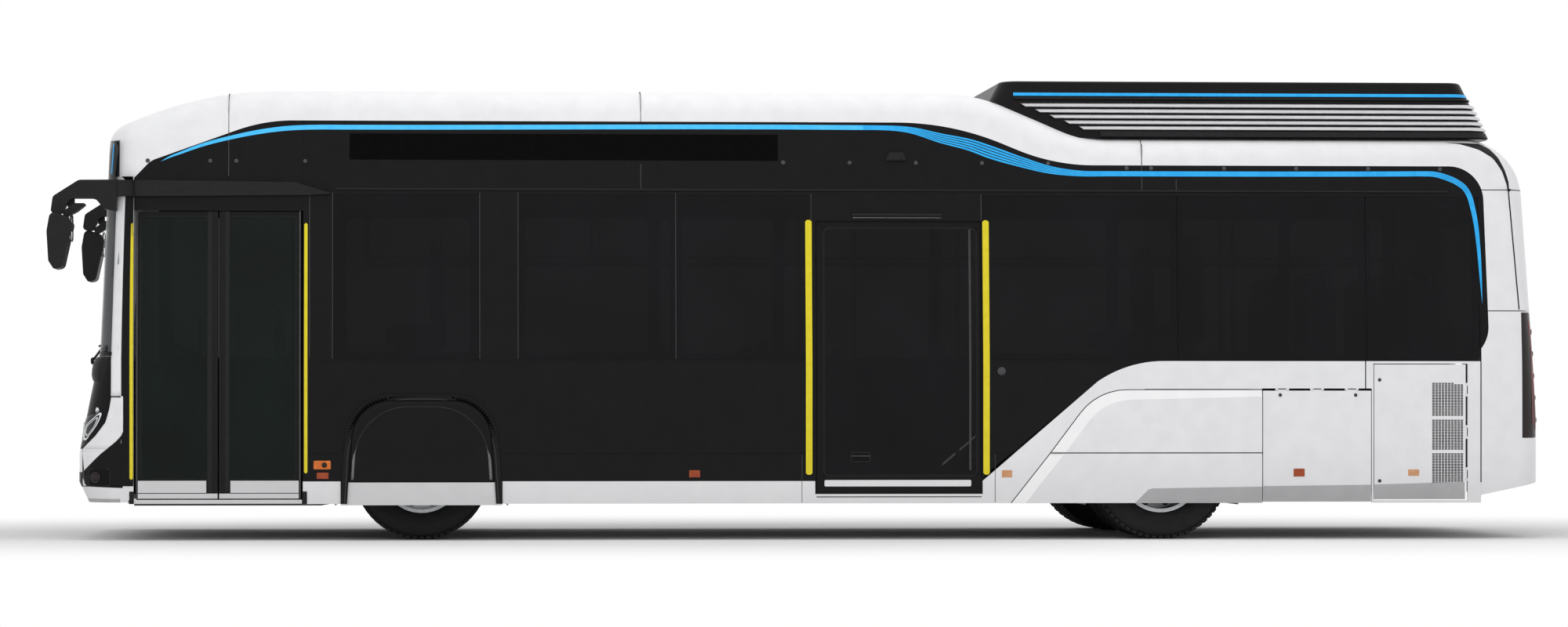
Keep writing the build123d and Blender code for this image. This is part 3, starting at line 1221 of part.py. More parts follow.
POLE_R = 16
POLE_ROWS = [
    (X_DOOR1 + 160, -500, FLOOR_Z), (X_DOOR1 + 160, 230, FLOOR_Z), (X_FA + 700, -500, FLOOR_Z),
    (X_FA + 700, 500, FLOOR_Z), (X_MID0 - 60, -640, FLOOR_Z), (X_MID0 + 500, 560, FLOOR_Z),
    (X_MID1 + 100, -640, FLOOR_Z), (X_MID1 + 100, 560, FLOOR_Z), (X_RA + 750, -205, REAR_FLOOR_Z),
    (X_RA + 750, 205, REAR_FLOOR_Z),
]
with BuildPart() as handrails:
    for x, y, floor in POLE_ROWS:
        rod((x, y, floor), (x, y, CEILING_Z), POLE_R)
    for side in (-1, 1):
        y = side * 560
        rod((X_DOOR1 + 420, y, 2050), (X_RA + 1900, y, 2050), POLE_R)
        for x in (X_DOOR1 + 440, X_FA + 1300, X_RA + 1880):
            rod((x, y, 2050), (x, y, CEILING_Z), POLE_R)
save(handrails.part, "handrails")
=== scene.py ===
# %% [markdown]
# A low-floor hydrogen city bus, finished around a fixed CAD frame.
# The frame gives every hard part its place and its motion. This lesson adds what a
# coachbuilder adds last: paint, glass, rubbers, stripes, lamps, tread and upholstery.
# All lengths are metres. The front looks along -X and the doors are on the -Y side.

import math

import bmesh
import bpy
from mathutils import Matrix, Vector
from mathutils.bvhtree import BVHTree


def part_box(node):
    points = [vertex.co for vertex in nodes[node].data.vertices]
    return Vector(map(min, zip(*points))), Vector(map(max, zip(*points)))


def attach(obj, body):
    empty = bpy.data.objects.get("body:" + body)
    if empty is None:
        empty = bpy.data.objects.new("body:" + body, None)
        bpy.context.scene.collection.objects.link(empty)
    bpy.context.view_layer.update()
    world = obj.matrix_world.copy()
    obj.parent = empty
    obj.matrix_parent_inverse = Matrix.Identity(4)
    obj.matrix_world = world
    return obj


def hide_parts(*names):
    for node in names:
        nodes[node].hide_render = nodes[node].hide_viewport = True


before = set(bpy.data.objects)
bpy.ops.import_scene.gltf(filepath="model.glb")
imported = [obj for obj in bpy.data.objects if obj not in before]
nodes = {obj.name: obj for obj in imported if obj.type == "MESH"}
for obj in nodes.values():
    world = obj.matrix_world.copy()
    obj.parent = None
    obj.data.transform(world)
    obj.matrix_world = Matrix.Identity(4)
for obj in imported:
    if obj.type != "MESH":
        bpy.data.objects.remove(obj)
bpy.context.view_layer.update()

# %% [markdown]
# A few small helpers serve every finish. They turn an sRGB hex value into the linear colour
# that shaders mix, add a shader node with its links, open a material with its shader, and
# lay a cloud of colour, roughness or relief over it at a real size.

# %% Colour and node helpers
CLOUD_SPREAD = (0.35, 0.65)          # shares of the noise that hold the mix of two colours


def linear(code):
    """Linear RGBA of an sRGB hex colour."""
    levels = [int(code[k:k + 2], 16) / 255 for k in (1, 3, 5)]
    return [v / 12.92 if v <= 0.04045 else ((v + 0.055) / 1.055) ** 2.4 for v in levels] + [1]


def add_node(tree, kind, inputs=None, **settings):
    """New node; settings are its properties, inputs are values or sockets to link."""
    new = tree.nodes.new(kind)
    for name, value in settings.items():
        setattr(new, name, value)
    for name, value in (inputs or {}).items():
        if isinstance(value, bpy.types.NodeSocket):
            tree.links.new(value, new.inputs[name])
        else:
            new.inputs[name].default_value = value
    return new


def new_finish(name, **shader):
    """Material with a Principled shader; shader values are set on its own sockets."""
    material = bpy.data.materials.new(name)
    material.use_nodes = True
    tree = material.node_tree
    surface = tree.nodes["Principled BSDF"]
    for key, value in shader.items():
        surface.inputs[key.replace("_", " ")].default_value = value
    return material, tree, surface


def noise(tree, size, detail, stretch=(1, 1, 1)):
    """Cloud of a real size in metres, on the object's own coordinates."""
    place = add_node(tree, "ShaderNodeTexCoord").outputs["Object"]
    drawn = add_node(tree, "ShaderNodeMapping", {"Vector": place, "Scale": stretch})
    return add_node(tree, "ShaderNodeTexNoise", {
        "Vector": drawn.outputs["Vector"], "Scale": 1 / size, "Detail": detail}).outputs["Fac"]


def mottle(tree, size, colours, detail=3.0, stretch=(1, 1, 1)):
    """Cloudy mix of two colours, and the cloud that mixes them."""
    cloud = noise(tree, size, detail, stretch)
    ramp = add_node(tree, "ShaderNodeValToRGB", {"Fac": cloud})
    for stop, position, code in zip(ramp.color_ramp.elements, CLOUD_SPREAD, colours):
        stop.position, stop.color = position, linear(code)
    return ramp.outputs["Color"], cloud


def roughen(tree, surface, fac, low, high):
    """Roughness that wanders between two values with a pattern."""
    spread = add_node(tree, "ShaderNodeMapRange", {"Value": fac, "To Min": low, "To Max": high})
    tree.links.new(spread.outputs["Result"], surface.inputs["Roughness"])


def grain(tree, surface, size, depth, stretch=(1, 1, 1)):
    """Fine relief: a bump of a real grain size and depth in metres."""
    bump = add_node(tree, "ShaderNodeBump",
                    {"Height": noise(tree, size, 2.0, stretch), "Distance": depth})
    tree.links.new(bump.outputs["Normal"], surface.inputs["Normal"])


def clouded(name, size, colours, roughness, wander, detail=3.0, stretch=(1, 1, 1), **shader):
    """Material with a cloudy colour and a roughness that wanders with it."""
    material, tree, surface = new_finish(name, **shader)
    colour, fac = mottle(tree, size, colours, detail, stretch)
    tree.links.new(colour, surface.inputs["Base Color"])
    roughen(tree, surface, fac, roughness - wander, roughness + wander)
    return material, tree, surface

# %% [markdown]
# Coach paint is sprayed two-pack enamel under a clear lacquer. The eye reads it from a soft
# mottle a hand's width across, a fine orange peel, and a colour that turns greyer towards
# the bottom, over about the lowest 200 mm. The black sides are the same paint polished flat,
# so they reflect evenly.

# %% Coachwork paints
LOW_GREYING_HEIGHTS = (0.26, 0.62)          # the colour turns greyer from the upper height down to the lower


def coach_paint(name, light, dark, film, roughness, lacquer, level=0.5):
    """Sprayed and lacquered enamel, greyer towards the bottom."""
    material, tree, surface = new_finish(
        name, Coat_Weight=lacquer, Coat_Roughness=0.08, Specular_IOR_Level=level)
    colour, fac = mottle(tree, 0.12, (dark, light), detail=4)
    spot = add_node(tree, "ShaderNodeTexCoord").outputs["Object"]
    height = add_node(tree, "ShaderNodeSeparateXYZ", {"Vector": spot}).outputs["Z"]
    # share of the greyer colour: 0.55 at the lower height, none at the upper
    low = add_node(tree, "ShaderNodeMapRange",
                   {"Value": height, "From Min": LOW_GREYING_HEIGHTS[0], "From Max": LOW_GREYING_HEIGHTS[1],
                    "To Min": 0.55, "To Max": 0.0})
    low_greyed_colour = add_node(tree, "ShaderNodeMix", {
        0: low.outputs["Result"], 6: colour, 7: linear(film)}, data_type="RGBA")
    tree.links.new(low_greyed_colour.outputs[2], surface.inputs["Base Color"])
    roughen(tree, surface, fac, roughness - 0.04, roughness + 0.05)
    grain(tree, surface, 0.004, 0.00002)
    return material


white_enamel = coach_paint("white two-pack enamel", "#E8E8EA", "#E3E3E6", "#D4D4D5", 0.32, 0.3)
black_enamel = coach_paint("black two-pack enamel", "#101012", "#0D0D0F", "#121211", 0.34, 0.0,
                           0.13)
print("paints:", white_enamel.name, "and", black_enamel.name)

# %% [markdown]
# The glass is dark-tinted privacy glass: a thin sheet that hides most of the cabin, with a
# hard, mirror-smooth face. Transparency comes from alpha, because that survives an export.
# The front doors have greener, clearer glass, so the driver can see the kerb.

# %% Glass
def tinted_glass(name, colours, alpha, level=0.3):
    """Thin sheet that lets a share of the light through."""
    return clouded(name, 0.6, colours, 0.045, 0.015, detail=1, Alpha=alpha,
                   Specular_IOR_Level=level)[0]


privacy_glass = tinted_glass("dark privacy glass", ("#0E0E10", "#121215"), 0.80, 0.13)
door_glass = tinted_glass("green tinted door glass", ("#0A120F", "#0F1A15"), 0.80, 0.14)
screen_glass = tinted_glass("laminated windscreen glass", ("#23282B", "#2E3437"), 0.5, 0.5)
sign_glass = tinted_glass("black sign glass", ("#0C0D11", "#121318"), 0.9)
lens_clear = tinted_glass("clear polycarbonate lens", ("#C9CED3", "#DADFE3"), 0.35, 0.5)

# %% [markdown]
# Rubber, moulded plastic and metals differ mostly in how they scatter light. Each function
# is one way of making a surface: moulded, brushed, cast or printed film.

# %% Plastics, rubber, metals and films
def moulded(name, colours, roughness, size=0.03, level=0.4):
    """Injection-moulded plastic or rubber with a pebbled skin."""
    material, tree, surface = clouded(name, size, colours, roughness, 0.07,
                                      Specular_IOR_Level=level)
    grain(tree, surface, 0.0012, 0.00008)
    return material


def bare_metal(name, colours, roughness, size=0.02, stretch=(1, 1, 1), metallic=1.0):
    """Brushed, rolled or cast metal; stretch draws the scratches out along an axis."""
    material, tree, surface = clouded(name, size, colours, roughness, 0.08, 5, stretch,
                                      Metallic=metallic)
    grain(tree, surface, size * 0.2, 0.00004, stretch)
    return material


def printed_film(name, colours, roughness=0.3):
    """Vinyl film on paint."""
    return clouded(name, 0.05, colours, roughness, 0.05, Specular_IOR_Level=0.35)[0]


satin_black = moulded("black satin plastic", ("#141416", "#1A1A1C"), 0.5, level=0.22)
rubber_seal = moulded("extruded sealing rubber", ("#0D0D0E", "#141415"), 0.7, level=0.25)
# black of dark joints, and also the painted shade in slots, hand holes and recesses
joint_and_hole_shade_black = moulded("black of joints, with painted shade of holes and recesses", ("#0A0A0B", "#121213"), 0.85, size=0.08, level=0.2)
tyre_rubber = moulded("vulcanised tyre rubber", ("#131314", "#1C1C1D"), 0.78, size=0.06, level=0.3)
grey_plastic = moulded("grey ABS trim", ("#3A3B3E", "#434447"), 0.55)
cabin_plastic = moulded("light cabin laminate", ("#8E9092", "#9A9C9E"), 0.6, size=0.2)
vinyl_floor = moulded("speckled vinyl floor", ("#2E3033", "#44474B"), 0.6, size=0.004)
yellow_film = printed_film("yellow door film", ("#D9C81C", "#E0CF22"))
blue_film = printed_film("bright blue film", ("#1FA6EC", "#2BB0F4"))
pale_blue_film = printed_film("light blue film", ("#3FBDFB", "#4CC4FF"))
wheel_silver = bare_metal("silver wheel lacquer", ("#B4B6B9", "#C6C8CB"), 0.42, metallic=0.6)
louvre_metal = bare_metal("extruded aluminium", ("#C4C4C6", "#E2E2E4"), 0.38, size=0.01,
                          stretch=(0.1, 6, 6))
chassis_paint = moulded("black chassis enamel", ("#18181A", "#232325"), 0.55, size=0.05)
cast_iron = bare_metal("machined cast iron", ("#5A5A5C", "#77777A"), 0.5, metallic=0.9)
chrome_trim = bare_metal("chromed trim", ("#D5D6D8", "#E4E5E6"), 0.14, size=0.05)
stainless = bare_metal("stainless tube", ("#A9ABAD", "#BDBFC1"), 0.3, stretch=(1, 1, 0.05))
amber_lens = printed_film("amber acrylic lens", ("#C8641E", "#D9762B"), 0.15)
pale_amber = printed_film("pale amber reflector", ("#C68E63", "#D09A70"), 0.25)
deep_amber = printed_film("dark amber reflector", ("#8E3A17", "#A3461D"), 0.25)
red_lens = printed_film("red acrylic lens", ("#5C0A0C", "#74100F"), 0.12)
smoked_lens = printed_film("smoked acrylic lens", ("#120607", "#1B0A0B"), 0.08)
display_black = moulded("black display film", ("#020203", "#050506"), 0.6, level=0.05)
# dark grey, lighter than the black paint it lies on
panel_edge = moulded("dark grey edge plastic", ("#2C2C2E", "#3A3A3C"), 0.5)
orange_rail = moulded("orange powder coat", ("#C8781A", "#D58524"), 0.4)
# lighter grey for the painted highlight on the rounded rim of the front wheel covers
cover_highlight_grey = moulded("grey with painted highlight", ("#5E5E60", "#6C6C6E"), 0.3, level=0.5)
headlamp_glass = printed_film("dark headlamp glass", ("#141619", "#1D2024"), 0.1)
# brighter white: a painted highlight for the rear wheel cover bevels
highlight_painted_white = coach_paint("white enamel with painted highlight", "#F6F6F7", "#F2F2F4", "#EDEDEE", 0.3, 0.3)
skirt_enamel = coach_paint("pale grey skirt enamel", "#D6D6D8", "#D0D0D2", "#C6C6C7", 0.35, 0.2)
# grey paint that paints the shade of the sills and of the bumper lip
shade_painted_grey = coach_paint("grey enamel with painted shade", "#B2B2B4", "#A9A9AB", "#9C9C9D", 0.4, 0.1)

# %% [markdown]
# Seat cloth is a wool moquette: a short cut pile woven in small blocks. Its sheen is soft
# and its pattern repeats about every 24 mm.

# %% Moquette
moquette, cloth_tree, cloth = new_finish("blue wool moquette", Roughness=0.95, Sheen_Weight=0.4)
cloth_place = add_node(cloth_tree, "ShaderNodeTexCoord").outputs["Object"]
weave = add_node(cloth_tree, "ShaderNodeTexVoronoi", {"Vector": cloth_place, "Scale": 1 / 0.024},
                 feature="F1", distance="CHEBYCHEV")
cloth_ramp = add_node(cloth_tree, "ShaderNodeValToRGB", {"Fac": weave.outputs["Distance"]})
cloth_ramp.color_ramp.elements[0].color = linear("#2B3A5A")
cloth_ramp.color_ramp.elements[1].color = linear("#18233B")
cloth_tree.links.new(cloth_ramp.outputs["Color"], cloth.inputs["Base Color"])
grain(cloth_tree, cloth, 0.0015, 0.0004)

# %% [markdown]
# Most details lie on the coachwork, so they need to know where the skin is. The side is
# flat up to the waist, then leans in by 2.9 degrees, and both ends turn a vertical corner.
# Writing that as one function keeps stripes, lamps and seams exactly on the paint.

# %% Stations of the body and its skin
front_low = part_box("front_bumper")[0]
FRONT = front_low.x
HALF = -front_low.y
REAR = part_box("rear_frame")[1].x
FRONT_AXLE = sum(c.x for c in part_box("front_left_tyre")) / 2
REAR_AXLE = sum(c.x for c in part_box("rear_left_tyres")) / 2
DOOR0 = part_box("front_door_front_leaf")[0].x - 0.014
DOOR1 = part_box("front_door_rear_leaf")[1].x + 0.014
MID0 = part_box("mid_door_leaf")[0].x - 0.006
MID1 = MID0 + 1.2
WAIST, GUTTER, ROOF, REAR_ROOF = 1.285, 2.504, 3.228, 2.905
LEAN_ANGLE = 2.9                     # degrees that the side leans in above the waist
LEAN, RAKE = math.tan(math.radians(LEAN_ANGLE)), math.tan(math.radians(2.4))
FRONT_ROUND, REAR_ROUND, WAIST_ROUND = 0.22, 0.17, 4.0
SIDES = ((-1, "left"), (1, "right"))


def screen_x(z):
    """Front face of the raked windscreen at height z."""
    return FRONT + 0.146 + (z - 1.317) * RAKE


def rear_x(z):
    """Rear face at height z, upright below 0.9 m."""
    return REAR - 0.115 * max(0.0, z - 0.9) / (REAR_ROOF - 0.9)


def side_y(z):
    """Half width of the flat of the side at height z, rounded at the waist."""
    tangent = WAIST_ROUND * math.tan(math.radians(LEAN_ANGLE) / 2)
    start, end = WAIST - tangent, WAIST + tangent
    if z <= start:
        return HALF
    if z >= end:
        return HALF - (z - WAIST) * LEAN
    return HALF - WAIST_ROUND + math.sqrt(WAIST_ROUND ** 2 - (z - start) ** 2)


def skin_y(x, z):
    """Half width of the outer skin at (x, z), following the rounded corners of the plan."""
    y = side_y(z)
    for gap, corner in ((x - screen_x(z), FRONT_ROUND), (rear_x(z) - x, REAR_ROUND)):
        if gap < corner:
            gap = max(gap, 0.0)
            y -= corner - math.sqrt(max(0.0, corner ** 2 - (corner - gap) ** 2))
    return y


print("skin half width at waist and belt:", skin_y(0, WAIST), skin_y(0, 2.7))

# %% [markdown]
# A few ways of making a piece cover most of the bus: a shell between two grids of points, a
# solid through rings, a band laid on the skin between two lines, rounded boxes and tubes.
# Each helper joins the piece to its body.

# %% Piece helpers
def new_piece(name, points, faces, material, body="body", slot=None, smooth=False):
    """Mesh object in the frame, riding on a body."""
    mesh = bpy.data.meshes.new(name)
    mesh.from_pydata([tuple(p) for p in points], [], faces)
    mesh.validate()
    mesh.update()
    return place_mesh(name, mesh, material, body, slot, smooth)


def place_mesh(name, mesh, material, body="body", slot=None, smooth=False):
    """Puts a mesh in the scene with its finish, on its body; slot is not used."""
    piece = bpy.data.objects.new(name, mesh)
    bpy.context.scene.collection.objects.link(piece)
    mesh.materials.clear()
    mesh.materials.append(material)
    mesh.polygons.foreach_set("use_smooth", [smooth] * len(mesh.polygons))
    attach(piece, body)
    return piece


def soften(piece, width=0.003, segments=2, angle=35):
    """Rounds the edges of a hard piece."""
    bevel = piece.modifiers.new("rounded edges", "BEVEL")
    bevel.width = width
    bevel.segments = segments
    bevel.limit_method = "ANGLE"
    bevel.angle_limit = math.radians(angle)
    return piece


def blocks(name, boxes, material, body="body", slot=None, width=0.003):
    """Rounded blocks from (low corner, high corner) pairs, as one piece."""
    points, faces = [], []
    for low, high in boxes:
        base = len(points)
        points += [(x, y, z) for x in (low[0], high[0]) for y in (low[1], high[1])
                   for z in (low[2], high[2])]
        faces += [[base + k for k in face] for face in (
            (0, 1, 3, 2), (4, 6, 7, 5), (0, 4, 5, 1), (2, 3, 7, 6), (0, 2, 6, 4), (1, 5, 7, 3))]
    return soften(new_piece(name, points, faces, material, body, slot), width)


def shell(name, front, back, material, ring=False, body="body", slot="black", smooth=False):
    """Closed thin solid between two grids of points, each a list of equal rows."""
    count, wide = len(front), len(front[0])
    base, faces = count * wide, []
    for k in range(count if ring else count - 1):
        here, there = k * wide, (k + 1) % count * wide
        for n in range(wide - 1):
            quad = [here + n, there + n, there + n + 1, here + n + 1]
            faces += [quad, [base + v for v in reversed(quad)]]
        faces.append([there, here, base + here, base + there])
        here, there = here + wide - 1, there + wide - 1
        faces.append([here, there, base + there, base + here])
    if not ring:
        for start, sign in ((0, 1), ((count - 1) * wide, -1)):
            for a in range(start, start + wide - 1):
                faces.append([a, a + 1, base + a + 1, base + a][::sign])
    points = [p for grid in (front, back) for row in grid for p in row]
    return turn_outwards(new_piece(name, points, faces, material, body, slot, smooth))


def lofted(name, rings, material, loop=False, body="body", slot="black", smooth=False):
    """Closed solid through rings of equal count; a loop joins its last ring to its first."""
    count, total = len(rings[0]), len(rings)
    faces = []
    for k in range(total if loop else total - 1):
        here, there = k * count, (k + 1) % total * count
        for n in range(count):
            m = (n + 1) % count
            faces.append([here + n, here + m, there + m, there + n])
    if not loop:
        faces += [list(range(count)), [total * count - 1 - n for n in range(count)]]
    points = [p for ring in rings for p in ring]
    return turn_outwards(new_piece(name, points, faces, material, body, slot, smooth))


def turn_outwards(piece):
    """Merges doubles and points every face of a closed shape outwards."""
    shape = bmesh.new()
    shape.from_mesh(piece.data)
    bmesh.ops.remove_doubles(shape, verts=shape.verts, dist=1e-6)
    bmesh.ops.recalc_face_normals(shape, faces=shape.faces)
    shape.to_mesh(piece.data)
    shape.free()
    return piece


def arc_line(corners, step=math.radians(9)):
    """Open line through (x, z, radius) corners with true arcs."""
    line = [Vector(corners[0][:2])]
    for before, corner, after in zip(corners, corners[1:], corners[2:]):
        here = Vector(corner[:2])
        back, ahead = ((Vector(end[:2]) - here).normalized() for end in (before, after))
        turn = math.pi - back.angle(ahead)
        if corner[2] <= 0 or turn < 0.01:
            line.append(here)
            continue
        reach = corner[2] * math.tan(turn / 2)
        middle = here + (back + ahead).normalized() * (corner[2] / math.cos(turn / 2))
        start, end = here + back * reach - middle, here + ahead * reach - middle
        count = max(2, int(turn / step) + 1)
        sign = 1 if start.x * end.y - start.y * end.x > 0 else -1
        for k in range(count + 1):
            a = sign * turn * k / count
            line.append(middle + Vector((start.x * math.cos(a) - start.y * math.sin(a),
                                         start.x * math.sin(a) + start.y * math.cos(a))))
    line.append(Vector(corners[-1][:2]))
    return line


def spaced(line, count):
    """The line as count points at equal steps along it."""
    lengths = [0.0]
    for a, b in zip(line, line[1:]):
        lengths.append(lengths[-1] + (b - a).length)
    points, k = [], 0
    for n in range(count):
        want = lengths[-1] * n / (count - 1)
        while k < len(line) - 2 and lengths[k + 1] < want:
            k += 1
        part = (want - lengths[k]) / max(1e-9, lengths[k + 1] - lengths[k])
        points.append(line[k].lerp(line[k + 1], min(1.0, part)))
    return points


def beside(line, distance):
    """The line moved sideways, to the left of its travel; distance may be a list."""
    moved = []
    for k, point in enumerate(line):
        ahead = line[min(k + 1, len(line) - 1)] - line[max(k - 1, 0)]
        ahead.normalize()
        step = distance[k] if isinstance(distance, list) else distance
        moved.append(point + Vector((-ahead.y, ahead.x)) * step)
    return moved


def on_side(side, skin=skin_y):
    """Placer for (x, z) spots on one side of the bus; depth counts outwards."""
    return lambda spot, depth: (spot.x, side * (skin(spot.x, spot.y) + depth), spot.y)


def band(name, low, high, place, material, lift=0.0008, thick=0.0016, rows=1, **more):
    """Thin solid between two lines of equal count, laid on a surface by a placer."""
    grids = [[[place(a.lerp(b, row / rows), depth) for row in range(rows + 1)]
              for a, b in zip(low, high)] for depth in (lift, lift - thick)]
    return shell(name, *grids, material, **more)


def grown_box(box, by):
    """(x0, x1, z0, z1) moved out on every side."""
    return box[0] - by, box[1] + by, box[2] - by, box[3] + by


def level(x0, x1, z, count=2):
    """Straight line of points at one height."""
    return [Vector((x0 + (x1 - x0) * k / (count - 1), z)) for k in range(count)]


def rect(name, x0, x1, z0, z1, place, material, count=2, rows=1, **more):
    """Rectangle laid on a surface."""
    return band(name, level(x0, x1, z0, count), level(x0, x1, z1, count), place, material,
                rows=rows, **more)


def tube(name, path, radius, material, body="body", slot="grey_plastic", cyclic=False, sides=4):
    """Round bar along 3-D points, with capped ends."""
    curve = bpy.data.curves.new(name, "CURVE")
    curve.dimensions = "3D"
    curve.bevel_depth = radius
    curve.bevel_resolution = sides
    curve.use_fill_caps = True
    spline = curve.splines.new("POLY")
    spline.points.add(len(path) - 1)
    for point, spot in zip(spline.points, path):
        point.co = (*spot, 1)
    spline.use_cyclic_u = cyclic
    holder = bpy.data.objects.new(name, curve)
    bpy.context.scene.collection.objects.link(holder)
    graph = bpy.context.evaluated_depsgraph_get()
    mesh = bpy.data.meshes.new_from_object(holder.evaluated_get(graph))
    bpy.data.objects.remove(holder)
    return place_mesh(name, mesh, material, body, slot, smooth=True)


def joined(name, pieces):
    """Several pieces of one body as one object."""
    keep = pieces[0]
    graph = bpy.context.evaluated_depsgraph_get()
    shape = bmesh.new()
    for piece in pieces:
        baked = bpy.data.meshes.new_from_object(piece.evaluated_get(graph))
        shape.from_mesh(baked)
        bpy.data.meshes.remove(baked)
    keep.modifiers.clear()
    smooth = [face.smooth for face in shape.faces]
    shape.to_mesh(keep.data)
    shape.free()
    keep.data.polygons.foreach_set("use_smooth", smooth)
    for piece in pieces[1:]:
        bpy.data.objects.remove(piece)
    keep.name = name
    return keep


def paint_node(name, material):
    """Gives a CAD node its finish."""
    slots = nodes[name].material_slots
    if not slots:
        nodes[name].data.materials.append(material)
    for place in nodes[name].material_slots:
        place.material = material

# %% [markdown]
# Where the skin is freely curved, as on the nose, a formula would drift from it. There a ray
# is shot at the CAD nodes themselves, and the detail lands exactly on what it hits.

# %% Placers that land on CAD nodes
def nodes_tree(names):
    """Search tree over the faces of some CAD nodes."""
    shape = bmesh.new()
    for name in names:
        shape.from_mesh(nodes[name].data)
    tree = BVHTree.FromBMesh(shape)
    shape.free()
    return tree


NOSE_ROWS = ((0.274, 0.070), (0.420, 0.0), (0.620, 0.0), (1.180, 0.112), (1.317, 0.146))
nose_tree = nodes_tree(["front_panel", "front_bumper", "front_frame", "front_glass", "headlamps"])
FLAT = HALF - FRONT_ROUND


def front_x(z):
    """Foremost x of the nose and windscreen at height z."""
    if z >= NOSE_ROWS[-1][0]:
        return screen_x(z)
    for (z0, back0), (z1, back1) in zip(NOSE_ROWS, NOSE_ROWS[1:]):
        if z <= z1:
            return FRONT + back0 + (back1 - back0) * (z - z0) / (z1 - z0)


def along_nose(x, z):
    """Distance from the centre line, measured round the corner, of the nose at (x, z)."""
    gap = x - front_x(z)
    if gap >= FRONT_ROUND:
        return FLAT + FRONT_ROUND * math.pi / 2 + gap - FRONT_ROUND
    return FLAT + FRONT_ROUND * math.acos(1 - max(gap, 0.0) / FRONT_ROUND)


def nose_frame(distance, z):
    """Point on the nose at a distance round from the centre, and its level outward direction."""
    sign = 1 if distance >= 0 else -1
    past = abs(distance) - FLAT
    turn = min(max(past, 0.0) / FRONT_ROUND, math.pi / 2)
    out = Vector((-math.cos(turn), sign * math.sin(turn), 0))
    straight = max(0.0, past - FRONT_ROUND * math.pi / 2)
    middle = Vector((front_x(z) + FRONT_ROUND + straight, sign * min(abs(distance), FLAT), z))
    spot = nose_tree.ray_cast(middle + out, -out, 1.6)[0]
    return (spot if spot else middle + out * FRONT_ROUND), out


def on_nose(spot, depth):
    """Placer for (distance round the nose, z) spots."""
    point, out = nose_frame(spot.x, spot.y)
    return tuple(point + out * depth)


def on_corner(side):
    """Placer for (x, z) spots near a front corner of the bus."""
    return lambda spot, depth: on_nose(Vector((side * along_nose(spot.x, spot.y), spot.y)), depth)


rear_tree = nodes_tree(["rear_frame", "rear_lid", "window_glass", "tail_lamps", "roof_shell"])


def on_rear(spot, depth):
    """Placer for (y, z) spots on the rear face."""
    hit = rear_tree.ray_cast(Vector((REAR + 1, spot.x, spot.y)), Vector((-1, 0, 0)), 1.6)[0]
    return ((hit.x if hit else rear_x(spot.y)) + depth, spot.x, spot.y)


def on_rear_side(side):
    """Placer for (x, z) spots on the rear corners, shot from the side."""
    def place(spot, depth):
        hit = rear_tree.ray_cast(Vector((spot.x, side * 2, spot.y)), Vector((0, -side, 0)), 1.6)[0]
        return (spot.x, (hit.y if hit else side * HALF) + side * depth, spot.y)
    return place

# %% [markdown]
# Every CAD node takes a finish. Those whose shape is already right keep it to the end.

# %% Finishes of the CAD nodes
FINISHES = [(white_enamel,
             ["roof_shell", "front_panel", "front_bumper", "front_frame", "rear_frame", "rear_lid",
              "skirt_panels", "rear_quarter_panels", "left_battery_hatch", "right_battery_hatch",
              "left_vent_door", "right_vent_door"]),
            (black_enamel,
             ["left_side_wall", "front_door_header", "right_side_wall", "filler_lid", "roof_pod",
              "tank_cover", "front_door_front_leaf", "front_door_rear_leaf", "mid_door_leaf",
              "front_wheel_covers"]),
            (privacy_glass, ["window_glass", "mid_door_glass"]),
            (door_glass, ["front_door_front_glass", "front_door_rear_glass"]),
            (screen_glass, ["front_glass"]),
            (lens_clear, ["headlamps"]),
            (smoked_lens, ["tail_lamps"]),
            (louvre_metal, ["pod_louvres"]),
            (tyre_rubber,
             ["front_left_tyre", "front_right_tyre", "rear_left_tyres", "rear_right_tyres"]),
            (wheel_silver,
             ["front_left_rim", "front_right_rim", "rear_left_rims", "rear_right_rims"]),
            (satin_black,
             ["mirrors", "front_door_front_arm", "front_door_rear_arm", "steering_wheel"]),
            (grey_plastic, ["dashboard", "seats", "door_gear"]),
            (cabin_plastic, ["cabin_ceiling", "wheel_boxes"]),
            (vinyl_floor, ["floor_deck"]),
            (orange_rail, ["handrails"]),
            (chassis_paint,
             ["chassis_frame", "drive_unit", "front_axle", "rear_axle", "hydrogen_tanks"]),
            (cast_iron, ["left_knuckle", "right_knuckle"])]
for finish, names in FINISHES:
    for name in names:
        paint_node(name, finish)
print("painted", sum(len(names) for _, names in FINISHES), "of", len(nodes), "nodes")

# %% [markdown]
# Small things repeat by the hundred: bolt caps, wheel nuts, tread blocks, grille slots. One
# Geometry Nodes tree places an item on every point of a host mesh, turned to two directions
# that the points carry. It can vary the size a little, so that a row does not look stamped.

# %% Tree that places an item on points
SEED = 7


